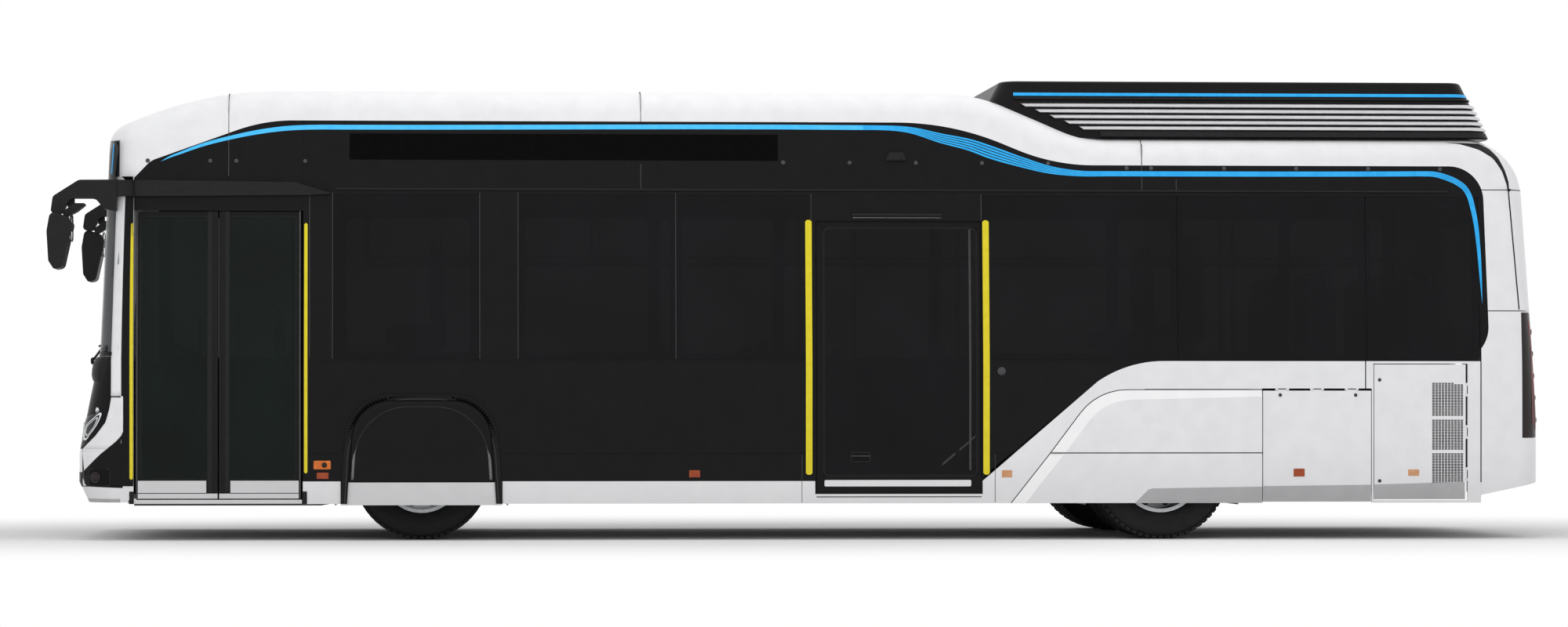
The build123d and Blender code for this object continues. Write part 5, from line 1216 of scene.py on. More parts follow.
# %% Seams of the rear quarter
def seam(name, corners, place, width=0.0075, lift=0.0006):
    """Thin dark line along corners on a surface."""
    line, steps = arc_line(corners), []
    for a, b in zip(line, line[1:]):
        parts = max(1, int((b - a).length / 0.12))
        steps += [a.lerp(b, k / parts) for k in range(parts)]
    line = steps + [line[-1]]
    return band(name, beside(line, -width / 2), beside(line, width / 2), place, joint_and_hole_shade_black,
                lift=lift)


# corners of the joints from the wheel cover to the rear corner
QUARTER = [[(REAR_AXLE - 0.8195, 0.6225, 0), (REAR_AXLE + 0.7185, 0.6225, 0)],
           [(REAR_AXLE - 0.1365, 1.080, 0), (REAR_AXLE + 0.7185, 1.080, 0),
            (REAR_AXLE + 0.7185, 0.275, 0)],
           [(REAR_AXLE + 1.4725, 1.083, 0), (REAR_AXLE + 1.4725, 1.289, 0)],
           [(REAR_AXLE + 2.3165, 0.41, 0), (REAR_AXLE + 2.3165, 1.62, 0)]]
for side, name in SIDES:
    joined(f"{name}_quarter_seams", [seam(f"quarter_{k}", corners, on_side(side), lift=0.0012)
                                     for k, corners in enumerate(QUARTER)])

# %% [markdown]
# The wheel cover stands out from its seam on a broad bevel that faces the sky. The bevel is
# painted brighter white, a painted highlight along its front and upper edge. Below, where the
# sill turns in under the bus, a flat grey band paints its shade, and the battery hatch and
# vent door carry the same painted shade.

# %% Rear wheel cover bevel with painted highlight, and painted sill shade
BEVEL_OUT = [(-1.1035, 0.264, 0), (-0.8195, 0.623, 0), (-0.4775, 1.078, 0.42), (0.7165, 1.078, 0)]
BEVEL_IN = [(-1.0005, 0.264, 0), (-0.7165, 0.623, 0), (-0.4275, 1.001, 0.38), (0.7165, 1.030, 0)]
RAISED = 0.012
outer_bevel, inner_bevel = (arcs_at(REAR_AXLE, line, 41) for line in (BEVEL_OUT, BEVEL_IN))
SILL_LINE = [(-0.2065, 0.264, 0), (-0.1045, 0.367, 0.02), (0.7165, 0.380, 0)]
DOOR_SILLS = (("battery_hatch", (3.340, 0.383), (4.124, 0.392)),
              ("vent_door", (4.150, 0.394), (4.808, 0.412)))


def foot_of(line, z):
    """The points of a line dropped to one height."""
    return [Vector((p.x, z)) for p in line]


for side, name in SIDES:
    place = on_side(side)
    slope = [[(place(p, a), place(q, b)) for p, q in zip(outer_bevel, inner_bevel)]
             for a, b in ((0.001, RAISED), (-0.001, -0.001))]
    # the bevel's brighter white is a painted highlight
    shell(f"{name}_wheel_cover_bevel", *slope, highlight_painted_white, slot="white")
    band(f"{name}_wheel_cover_face", foot_of(inner_bevel, 0.264), inner_bevel, place, white_enamel,
         lift=RAISED, thick=RAISED + 0.001, slot="white")
    joined(f"{name}_wheel_cover_seams",
           [seam("outline_seam", [(REAR_AXLE + x, z, r) for x, z, r in BEVEL_OUT], place, 0.006,
                 lift=0.0014),
            rect("cover_seam", REAR_AXLE - 0.8195, REAR_AXLE + 0.7165, 0.6195, 0.6265, place,
                 joint_and_hole_shade_black, 20, lift=RAISED + 0.0008)])
    sill_painted_shade = arcs_at(REAR_AXLE, SILL_LINE, 30)
    # flat grey band of painted shade along the sill
    band(f"{name}_wheel_cover_sill", foot_of(sill_painted_shade, 0.2638), sill_painted_shade, place, shade_painted_grey,
         lift=RAISED + 0.0012, slot="white")
    for panel, start, end in DOOR_SILLS:
        top = spaced([Vector(start), Vector(end)], 10)
        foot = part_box(f"{name}_{panel}")[0].z + 0.002
        # flat grey band of painted shade along the foot of each door
        band(f"{name}_{panel}_sill", foot_of(top, foot), top, place, shade_painted_grey, lift=0.0012,
             body=f"{name}_{panel}", slot="white")
print("wheel cover bevels and sills set")

# %% [markdown]
# Three square grilles breathe through the vent door. Each is a punched field of about two
# hundred short slots, which is a job for the scatter tree. The last two reflectors of the
# skirt ride the hatch and the door, and round locks hold both shut.

# %% Vent grilles, door reflectors and panel locks
GRILLE_X = (REAR_AXLE + 1.9605, REAR_AXLE + 2.1845)
GRILLE_Z = ((0.893, 1.126), (0.649, 0.859), (0.406, 0.616))
SLOT_PITCH = (0.023, 0.011)
# x0, x1, z0, z1, finish, door
DOOR_REFLECTORS = ((3.560, 3.640, 0.452, 0.509, deep_amber, "battery_hatch"),
                   (4.396, 4.476, 0.457, 0.502, pale_amber, "vent_door"))
LOCKS = (("battery_hatch", [(REAR_AXLE + 0.85, 1.04), (REAR_AXLE + 1.40, 1.04)]),
         ("vent_door", [(REAR_AXLE + 1.575, 0.42), (REAR_AXLE + 1.575, 1.15)]))
for side, name in SIDES:
    body = f"{name}_vent_door"
    slots = []
    for k, (z0, z1) in enumerate(GRILLE_Z):
        columns = int((GRILLE_X[1] - GRILLE_X[0]) / SLOT_PITCH[0]) + 1
        rows = int((z1 - z0) / SLOT_PITCH[1]) + 1
        middle_x, middle_z = sum(GRILLE_X) / 2, (z0 + z1) / 2
        slots += [(middle_x + (c - (columns - 1) / 2) * SLOT_PITCH[0],
                   middle_z + (r - (rows - 1) / 2) * SLOT_PITCH[1]) for c in range(columns)
                  for r in range(rows) if not (k == 0 and r == rows - 1 and c > columns - 4)]
    # each slot is a low black block: painted shade of the hole
    slot = item_block((0.0185, 0.0074, 0.0016), taper=0.96)
    placed_items(f"{name}_grille_slots", slot, side_spots(slots, side, -0.0006), joint_and_hole_shade_black, body,
                 "black")
    print(name, "grille slots:", len(slots))
    for number, (*place, finish, panel) in enumerate(DOOR_REFLECTORS, len(REFLECTORS) + 1):
        side_box(f"{name}_reflector_{number}", *place, side, 0.003, finish, "red_lens", 0.0015,
                 f"{name}_{panel}")
    for panel, places in LOCKS:
        turned_items(f"{name}_{panel}_locks", [(0.013, -0.001), (0.013, 0.0015), (0.010, 0.003)],
                     18, side_spots(places, side), panel_edge, f"{name}_{panel}", "white")

# %% [markdown]
# Hinge knuckles bridge the gap at the top of each battery hatch and the rear edge of each
# vent door. Dark caps cover those knuckles that are part of the door, and ride it.

# %% Knuckle caps
CAP_STEP, CAP_SPREAD = 0.004, 0.0025
HINGES = (("battery_hatch", (3.340, 1.0835), (4.122, 1.0835), (0.0, CAP_SPREAD)),
          ("vent_door", (4.8285, 0.30), (4.8285, 1.258), (CAP_SPREAD, 0.0)))


def knuckle_runs(node, side, spots):
    """Runs of spots where a door's own mesh lies level with the side."""
    tree, runs = nodes_tree([node]), []
    for k, spot in enumerate(spots):
        hit = tree.ray_cast(Vector((spot.x, side * 2, spot.y)), Vector((0, -side, 0)), 1.0)[0]
        if hit and abs(abs(hit.y) - abs(on_side(side)(spot, 0)[1])) < 0.002:
            if runs and runs[-1][1] == k - 1:
                runs[-1][1] = k
            else:
                runs.append([k, k])
    return [(spots[a], spots[b]) for a, b in runs if b > a]


for side, name in SIDES:
    for door, start, end, (wide, tall) in HINGES:
        start, end = Vector(start), Vector(end)
        spots = spaced([start, end], int((end - start).length / CAP_STEP) + 1)
        caps = [rect(f"cap_{k}", a.x - wide, b.x + wide, a.y - tall, b.y + tall, on_side(side),
                     joint_and_hole_shade_black, 3, 3, lift=0.0005, thick=0.0008, body=f"{name}_{door}")
                for k, (a, b) in enumerate(knuckle_runs(f"{name}_{door}", side, spots))]
        joined(f"{name}_{door}_knuckle_caps", caps)
        print(name, door, "knuckle caps:", len(caps))

# %% [markdown]
# A few last lines on the sides. Black bars close the white skirt at both ends of the front
# doorway, two light joints cross the black cantrail, and a gloss black wedge finishes the
# shoulder behind the last window.

# %% Side details
joined("front_doorway_ends",
       [plate("door_end", x0, x1, 0.2625, 0.352, 0.004, place, satin_black, 6, lift=0.0022,
              thick=0.003)
        for x0, x1, place in ((DOOR0 - 0.030, DOOR0 + 0.003, corner_left),
                              (DOOR1 - 0.003, DOOR1 + 0.030, on_left))])
for side, name in SIDES:
    place = on_side(side)
    joined(f"{name}_cantrail_joints",
           [rect("joint_0", -4.107, -4.101, 2.605, 2.930, place, panel_edge, 2, 16, lift=0.0006,
                 thick=0.001),
            rect("joint_1", REAR_AXLE - 0.1465, REAR_AXLE - 0.1405, 2.515, 2.852, place, panel_edge,
                 2, 16, lift=0.0006, thick=0.001)])
print("doorway ends and cantrail joints set")

# %% Rear shoulder wedge
WEDGE_IN = [(4.700, 2.880, 0), (4.814, 2.866, 0.1), (4.949, 2.822, 0.1), (5.046, 2.760, 0.1),
            (5.106, 2.667, 0.1), (5.137, 2.570, 0.1), (5.146, 2.516, 0)]
WEDGE_OUT = [(4.960, 2.870, 0), (5.030, 2.838, 0.1), (5.090, 2.765, 0.1), (5.132, 2.670, 0.1),
             (5.154, 2.590, 0.05), (5.158, 2.516, 0)]
wedge_in, wedge_out = spaced(arc_line(WEDGE_IN), 41), spaced(arc_line(WEDGE_OUT), 41)
for side, name in SIDES:
    place = on_rear_side(side)
    wedge = band("wedge", wedge_in, wedge_out, place, satin_black, lift=0.0012, thick=0.002,
                 rows=10, smooth=True)
    line_in = spaced([Vector((5.146, 2.516)), Vector((5.212, 1.660))], 31)
    line_out = [p + Vector((0.010, 0)) for p in line_in]
    tail = band("wedge_tail", line_in, line_out, place, satin_black, lift=0.0012, thick=0.002)
    joined(f"{name}_shoulder_wedge", [wedge, tail])
print("shoulder wedges set")

# %% [markdown]
# The nose is one white moulding with a black mask that runs from the windscreen down to the
# lamps, and a white sweep that flows from the pillar across the front. Each area is laid on
# the nose as rows of points round its corner.

# %% Black mask and white sweeps
SWEEP_LEFT = ((1.262, -4.933), (1.027, -4.933), (0.942, -4.947), (0.845, -4.974), (0.748, -5.048),
              (0.655, -5.145))
SWEEP_RIGHT = ((1.030, -4.849), (0.764, -4.849), (0.707, -4.900), (0.618, -5.011), (0.489, -5.145))


def edge_at(edge, z):
    """x of an edge, given as falling (z, x) rows, at height z."""
    for (z0, x0), (z1, x1) in zip(edge, edge[1:]):
        if z1 <= z <= z0:
            return x0 + (x1 - x0) * (z - z0) / (z1 - z0)
    return edge[0][1] if z > edge[0][0] else edge[-1][1]


def heights(z0, z1, step=0.03):
    """Rows from z0 to z1, with one on each crease of the nose."""
    count = max(1, round((z1 - z0) / step))
    rows = [z0 + (z1 - z0) * k / count for k in range(count + 1)]
    return sorted(rows + [z for z, _ in NOSE_ROWS if z0 < z < z1])


def across(name, z0, z1, reach, material, lift, rows=110, slot="black", step=0.03):
    """Area across the whole nose, reaching round each corner by a function of height."""
    zs = heights(z0, z1, step)
    return band(name, [Vector((-reach(z), z)) for z in zs], [Vector((reach(z), z)) for z in zs],
                on_nose, material, lift=lift, thick=lift + 0.001, rows=rows, slot=slot, smooth=True)


across("nose_mask", 0.655, 1.3155, lambda z: along_nose(edge_at(SWEEP_LEFT, z), z), black_enamel,
       0.0018)
across("screen_foot", 1.318, 1.347, lambda z: along_nose(-4.933, z), black_enamel, 0.0035,
       step=0.007)
across("nose_intake", 0.390, 0.489, lambda z: along_nose(-5.145, z), black_enamel, 0.0016)
for side, name in SIDES:
    place = on_corner(side)
    zs = heights(0.655, 1.03)
    band(f"{name}_white_sweep", [Vector((edge_at(SWEEP_RIGHT, z), z)) for z in zs],
         [Vector((edge_at(SWEEP_LEFT, z) + 0.001, z)) for z in zs], place, white_enamel, lift=0.003,
         thick=0.004, rows=14, slot="white", smooth=True)
    xs = [-5.146 + 0.0173 * k for k in range(18)]
    low = [Vector((x, 0.388 - 0.04 * (x + 5.122) if x > -5.122 else 0.388 - 3.0 * (x + 5.122)))
           for x in xs]
    high = []
    for x in xs:
        rows = [(z0, x0, z1, x1) for (z0, x0), (z1, x1) in zip(SWEEP_RIGHT, SWEEP_RIGHT[1:])
                if x1 <= x <= x0 != x1]
        z0, x0, z1, x1 = rows[0] if rows else (0.764, -4.849, 0.764, -4.850)
        high.append(Vector((x, z0 + (z1 - z0) * (x - x0) / (x1 - x0))))
    band(f"{name}_fog_zone", low, high, place, black_enamel, lift=0.0018, thick=0.003, rows=12,
         smooth=True)
print("nose mask and sweeps laid")

# %% [markdown]
# Each headlamp is a dark glass that wraps the corner. Its outer end is a tall eye with a
# chromed rim, and two round projectors look forward from behind the glass.

# %% Headlamps
EYE = [(1.262, 0.914), (1.235, 0.902), (1.204, 0.877), (1.155, 0.842), (1.115, 0.805),
       (1.106, 0.776), (1.107, 0.748), (1.128, 0.724), (1.160, 0.716), (1.182, 0.730),
       (1.199, 0.756), (1.228, 0.792), (1.249, 0.829), (1.262, 0.868), (1.268, 0.897)]
LAMP = [(1.262, 0.914), (1.120, 0.885), (0.900, 0.868), (0.700, 0.845), (0.600, 0.815),
        (0.650, 0.775), (0.850, 0.745), (1.050, 0.722), (1.160, 0.712), (1.205, 0.752),
        (1.252, 0.826)]


def rounded_loop(corners, steps=4):
    """Closed smooth loop through corners."""
    loop, count = [], len(corners)
    for k in range(count):
        p = [Vector(corners[(k + n) % count]) for n in (-1, 0, 1, 2)]
        for step in range(steps):
            t = step / steps
            loop.append(0.5 * (2 * p[1] + (p[2] - p[0]) * t
                               + (2 * p[0] - 5 * p[1] + 4 * p[2] - p[3]) * t * t
                               + (3 * p[1] - p[0] - 3 * p[2] + p[3]) * t ** 3))
    return loop


def patch(name, loop, place, material, lift, thick, slot, crown, rows=6):
    """Closed area inside a loop, as rings that shrink to its middle, bulging by crown."""
    centre = sum(loop, Vector((0, 0))) / len(loop)
    points, count = [], len(loop)
    for row in range(rows):
        share = 1 - row / rows
        points += [place(centre.lerp(p, share), lift + crown * (1 - share ** 2)) for p in loop]
    top, base = rows * count, rows * count + 1
    points += [place(centre, lift + crown)] + [place(p, lift - thick) for p in loop]
    faces = []
    for k in range(count):
        n = (k + 1) % count
        for a in range(0, top - count, count):
            faces.append([a + k, a + n, a + count + n, a + count + k])
        faces += [[top - count + k, top - count + n, top], [n, k, base + k, base + n]]
    faces.append([base + k for k in reversed(range(count))])
    return turn_outwards(new_piece(name, points, faces, material, slot=slot, smooth=True))


def nose_discs(name, spots, profile, material, slot, sides=32):
    """Turned items standing on the nose at (distance, z, lift) spots."""
    places = []
    for distance, z, lift in spots:
        point, out = nose_frame(distance, z)
        places.append((point + out * lift, out, (0, 0, 1)))
    return turned_items(name, profile, sides, places, material, slot=slot)


FOG = (-5.094, -4.937, 0.392, 0.517)
for side, name in SIDES:
    lamp = [Vector((side * s, z)) for s, z in rounded_loop(LAMP)]
    eye = [Vector((side * s, z)) for s, z in rounded_loop(EYE)]
    patch(f"{name}_headlamp_glass", lamp, on_nose, headlamp_glass, 0.0045, 0.004, "glass", 0.004)
    middle = sum(eye, Vector((0, 0))) / len(eye)
    for label, inside, outside, finish, lift, thick, rows in (
        ("eye_rim", 0.16, 0.0, chrome_trim, 0.0105, 0.009, 2),
        ("eye_light_guide", 0.45, 0.3, wheel_silver, 0.0095, 0.006, 1)):
        rim, core = ([p.lerp(middle, share) for p in eye] for share in (inside, outside))
        band(f"{name}_{label}", rim, core, on_nose, finish, lift=lift, thick=thick, ring=True,
             rows=rows, slot="silver", smooth=True)
    lights = [(side * 0.80, 0.806, 0.006), (side * 0.945, 0.803, 0.006)]
    nose_discs(f"{name}_projector_rims", lights,
               [(0.043, 0.0), (0.043, 0.006), (0.038, 0.009), (0.034, 0.006), (0.033, 0.002)],
               chrome_trim, "silver")
    nose_discs(f"{name}_projectors", lights,
               [(0.032, 0.0), (0.032, 0.003), (0.026, 0.010), (0.015, 0.014), (0.005, 0.0155)],
               lens_clear, "clear_lens")
    place = on_corner(side)
    edging(f"{name}_fog_frame", *FOG, 0.009, place, satin_black, 0.02, lift=0.006, thick=0.006)
    # flat black sheet: painted shade of the recess round the fog lamp
    rect(f"{name}_fog_recess", *grown_box(FOG, -0.008), place, joint_and_hole_shade_black, 8, 6, lift=0.0028,
         thick=0.003)
    at = [(side * along_nose(-5.045, 0.45), 0.452, 0.0035)]
    nose_discs(f"{name}_fog_rim", at,
               [(0.037, 0.0), (0.037, 0.006), (0.033, 0.008), (0.031, 0.004)], panel_edge, "black")
    nose_discs(f"{name}_fog_lens", at,
               [(0.031, 0.0), (0.031, 0.004), (0.022, 0.009), (0.008, 0.011)], smoked_lens,
               "clear_lens")
print("lamps set")

# %% [markdown]
# Under the windscreen a soft black cowl hides the wiper spindles. Two wipers park on the
# glass, a dark printed border frames it, and a blank plate holder sits on the white sweep.

# %% Cowl, wipers, screen border and plate holder
COWL = ((1.135, 0.002), (1.150, 0.018), (1.180, 0.036), (1.225, 0.046), (1.270, 0.047),
        (1.300, 0.038), (1.314, 0.012))
COWL_REACH, COWL_TAPER, COWL_COLUMNS = 1.19, 0.25, 61
shares = [-1 + 2 * k / (COWL_COLUMNS - 1) for k in range(COWL_COLUMNS)]
fades = [min(1.0, (1 - abs(share)) / COWL_TAPER) ** 0.5 for share in shares]
cowl_front = [[on_nose(Vector((share * COWL_REACH, z)), 0.001 + (lift - 0.001) * fade)
               for share, fade in zip(shares, fades)] for z, lift in COWL]
cowl_back = [[on_nose(Vector((share * COWL_REACH, z)), -0.001) for share in shares]
             for z, _ in COWL]
shell("wiper_cowl", cowl_front, cowl_back, satin_black, smooth=True)
BORDER_S = along_nose(DOOR0 - 0.165, 2.0)
border = [across("border_top", 2.505, 2.852, lambda z: BORDER_S, sign_glass, 0.0014, 80, step=0.09),
          across("border_foot", 1.345, 1.392, lambda z: BORDER_S, sign_glass, 0.0014, 80)]
joined("screen_border", border)
for side, name in SIDES:
    rect(f"{name}_sign_blue_line", *sorted((side * 1.075, side * 1.090)), 2.600, 2.845, on_nose,
         blue_film, 2, 8, lift=0.003, slot="white")
wipers = []
for start, bend, low, high in ((-0.98, -0.50, -0.96, -0.06), (0.10, 0.56, 0.12, 1.02)):
    arm = [on_nose(Vector((start + (bend - start) * t, 1.285 + 0.115 * t)), 0.052 - 0.022 * t)
           for t in (0, 0.3, 0.7, 1)]
    wipers.append(tube("arm", arm, 0.009, satin_black, slot="black"))
    blade = [on_nose(Vector((low + (high - low) * k / 8,
                             1.392 + 0.016 * math.sin(math.pi * k / 8))), 0.014) for k in range(9)]
    wipers.append(tube("blade", blade, 0.008, rubber_seal, slot="black", sides=2))
joined("wipers", wipers)
nose_discs("wiper_caps", [(-0.98, 1.285, 0.040), (0.10, 1.285, 0.040)],
           [(0.026, 0.0), (0.026, 0.012), (0.018, 0.020), (0.006, 0.022)], satin_black, "black", 24)
soften(rect("plate_holder", -0.275, 0.275, 0.508, 0.626, on_nose, satin_black, 6, lift=0.008,
            thick=0.009), 0.003)
soften(rect("blank_plate", -0.262, 0.262, 0.516, 0.618, on_nose, skirt_enamel, 6, lift=0.0105,
            thick=0.004, slot="white"), 0.0012)
# flat grey band of painted shade under the bumper lip
across("bumper_lip_shade", 0.2755, 0.300, lambda z: along_nose(-4.87, z), shade_painted_grey, 0.0014, 90,
       slot="white", step=0.008)
across("bumper_seam", 0.3865, 0.3915, lambda z: along_nose(-4.865, z), joint_and_hole_shade_black, 0.0022, 110,
       step=0.004)
print("nose finished")

# %% [markdown]
# The rear is white, with a tall lid over the fuel cell. The lid breathes through a field of
# louvres, the window has a rubber gasket, and each tail lamp shows a red line of light.

# %% Rear window gasket, seams and lamps
pane = [v.co for v in nodes["window_glass"].data.vertices if v.co.x > REAR - 0.2]
window = (min(p.y for p in pane), max(p.y for p in pane), min(p.z for p in pane),
          max(p.z for p in pane))
edging("rear_window_gasket", *grown_box(window, 0.006), 0.022, on_rear, rubber_seal, 0.05,
       lift=0.005, thick=0.007)
print("rear window:", [round(v, 3) for v in window])
lamp_low, lamp_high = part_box("tail_lamps")
for side, name in SIDES:
    joined(f"{name}_rear_corner_seams",
           [rect("corner", REAR_AXLE + 2.325, rear_x(z) - 0.004, z - 0.003, z + 0.003,
                 on_side(side), joint_and_hole_shade_black, 18, lift=0.0007) for z in (1.650, 2.529)])
    y0, y1 = sorted((side * (lamp_high.y - 0.082), side * (lamp_high.y - 0.068)))
    rect(f"{name}_tail_light_line", y0, y1, lamp_low.z + 0.06, lamp_high.z - 0.06, on_rear,
         red_lens, 2, 20, lift=0.003, thick=0.004, slot="red_lens")
    rect(f"{name}_tail_side_line", REAR - 0.062, REAR - 0.050, lamp_low.z + 0.10,
         lamp_high.z - 0.10, on_rear_side(side), red_lens, 2, 20, lift=0.003, thick=0.004,
         slot="red_lens")
    units = [(side * (lamp_high.y - 0.148), z) for z in (0.86, 1.02, 1.18, 1.34, 1.50)]
    spots = [(on_rear(Vector(unit), 0.0005), (1, 0, 0), (0, 0, 1)) for unit in units]
    turned_items(f"{name}_tail_units",
                 [(0.023, -0.003), (0.023, 0.0006), (0.020, 0.0014), (0.016, 0.0010),
                  (0.008, 0.0014)], 28, spots, red_lens, slot="red_lens")
rect("high_brake_lamp", -0.26, 0.26, 2.430, 2.452, on_rear, smoked_lens, 8, 1, lift=0.007,
     thick=0.008, slot="red_lens")

# %% Lid louvres, plate and reflectors
lid_low, lid_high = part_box("rear_lid")
LOUVRE_PITCH, LOUVRE_HALF = 0.034, 0.60
louvre_z = [lid_low.z + 0.11 + LOUVRE_PITCH * k for k in range(10)]
# flat black sheet: painted shade of the recess behind the louvres
rect("lid_louvre_recess", -LOUVRE_HALF - 0.02, LOUVRE_HALF + 0.02, louvre_z[0] - 0.024,
     louvre_z[-1] + 0.024, on_rear, joint_and_hole_shade_black, 12, 10, lift=0.0012, thick=0.002, body="rear_lid")
blade = item_block((2 * LOUVRE_HALF, 0.020, 0.012), bevel=0.004, taper=0.96)
blades = [(on_rear(Vector((0, z)), 0.001), Vector((1, 0, 0.5)).normalized(), (0, 1, 0))
          for z in louvre_z]
placed_items("lid_louvres", blade, blades, white_enamel, "rear_lid", "white")
edging("rear_lid_lip", *grown_box((lid_low.y, lid_high.y, lid_low.z, lid_high.z), -0.014), 0.007,
       on_rear, panel_edge, 0.03, lift=0.0012, thick=0.002, body="rear_lid", slot="white")
soften(rect("rear_lid_grip", -0.11, 0.11, lid_low.z + 0.030, lid_low.z + 0.062, on_rear,
            satin_black, 4, 2, lift=0.012, thick=0.013, body="rear_lid"), 0.006, 3)
soften(rect("rear_plate_holder", -0.275, 0.275, 0.372, 0.488, on_rear, satin_black, 6, 3,
            lift=0.006, thick=0.007), 0.002)
soften(rect("rear_blank_plate", -0.262, 0.262, 0.380, 0.480, on_rear, skirt_enamel, 6, 3,
            lift=0.008, thick=0.003, slot="white"), 0.001)
for side, name in SIDES:
    soften(rect(f"{name}_rear_reflector", *sorted((side * 0.84, side * 0.97)), 0.425, 0.465,
                on_rear, red_lens, 3, 1, lift=0.004, thick=0.005, slot="red_lens"), 0.0015)
print("rear finished:", len(louvre_z), "louvres")

# %% [markdown]
# Bus tyres are moulded with a smooth sidewall and a blocky tread. The CAD tyre is a plain
# ring, so each one is replaced by a turned carcass, a little under size, and the scatter
# tree stands six rows of tread blocks on it up to the full diameter.

# %% Tyres
TYRE_SECTION = [(0.299, -0.098), (0.306, -0.114), (0.330, -0.128), (0.352, -0.1335),
                (0.358, -0.1310), (0.366, -0.1345), (0.400, -0.1365), (0.435, -0.1330),
                (0.458, -0.1245), (0.470, -0.112), (0.477, -0.085), (0.4785, 0.0)]
TREAD_ROWS = ((-0.110, 0.030, 0.036), (-0.066, 0.040, 0.030), (-0.022, 0.036, 0.026),
              (0.022, 0.036, 0.026), (0.066, 0.040, 0.030), (0.110, 0.030, 0.036))
BLOCKS_ROUND, TREAD_TOP = 60, 0.4895


def turned(name, section, centre, material, body, slot, sides=72):
    """Closed ring turned about an axle along Y from (radius, offset) points."""
    turns = [math.tau * k / sides for k in range(sides)]
    rings = [[(centre[0] + r * math.sin(turn), centre[1] + t, centre[2] + r * math.cos(turn))
              for r, t in section] for turn in turns]
    return lofted(name, rings, material, True, body, slot, smooth=True)


def round_spots(centre, radius, y, side, count, start=0.0):
    """Spots round an axle, facing along it, with their own outward direction as the second."""
    spots = []
    for k in range(count):
        turn = start + math.tau * k / count
        out = Vector((math.sin(turn), 0, math.cos(turn)))
        spots.append((Vector((centre[0], y, centre[2])) + out * radius, (0, side, 0), out))
    return spots


def tyre(name, centre, body):
    """Carcass and tread of one tyre."""
    section = TYRE_SECTION + [(r, -t) for r, t in reversed(TYRE_SECTION[:-1])] + [
        (0.299, 0.04), (0.299, -0.04)]
    carcass = turned(name, section, centre, tyre_rubber, body, "tyre")
    carcass.data.set_sharp_from_angle(angle=math.radians(32))
    treads = []
    for number, (offset, wide, long) in enumerate(TREAD_ROWS):
        base = 0.4755 if abs(offset) < 0.1 else 0.4665
        start = 0.5 * (number % 2) * math.tau / BLOCKS_ROUND
        spots = [(spot, out, (0, 1, 0)) for spot, _, out in
                 round_spots(centre, base, centre[1] + offset, 1, BLOCKS_ROUND, start)]
        block = item_block((wide, long, TREAD_TOP - base), taper=0.93)
        treads.append(placed_items(f"tread_{number}", block, spots, tyre_rubber, body, "tyre"))
    return [carcass] + treads


def wheel_centre(node, share=0.5):
    """Centre of a wheel node, at a share of its width."""
    low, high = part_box(node)
    return ((low.x + high.x) / 2, low.y + (high.y - low.y) * share, (low.z + high.z) / 2)


tyres = []
for node, shares in (("front_left_tyre", (0.5,)), ("front_right_tyre", (0.5,)),
                     ("rear_left_tyres", (0.2338, 0.7662)), ("rear_right_tyres", (0.2338, 0.7662))):
    body = node.replace("tyres", "wheels").replace("tyre", "wheel")
    parts = [part for k, share in enumerate(shares)
             for part in tyre(f"{node}_{k}", wheel_centre(node, share), body)]
    whole = joined(f"{node}_rubber", parts)
    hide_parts(node)
    tyres.append(whole)
print("tyres:", [len(piece.data.polygons) for piece in tyres], "faces")

# %% [markdown]
# The steel rims carry ten wheel nuts on a 335 mm circle, ten hand holes and a valve. A bright
# flange shows where the tyre sits. At the rear, a cup covers the end of the axle.

# %% Wheel dressings
NUTS, NUT_CIRCLE, HOLE_CIRCLE, VALVE_CIRCLE, HUB = 10, 0.1675, 0.236, 0.262, 0.05
# radius and inset of the flange
FLANGE = [(0.2875, 0.006), (0.2955, 0.006), (0.2965, 0.002), (0.293, 0.0005), (0.288, 0.002)]


def rim_depth(node, centre, radius, side):
    """y of the outer face of a rim at a radius, found by a ray along the axle."""
    start = Vector((centre[0] + radius * math.sin(0.1), side * 1.6,
                    centre[2] + radius * math.cos(0.1)))
    return nodes_tree([node]).ray_cast(start, Vector((0, -side, 0)), 1.2)[0].y


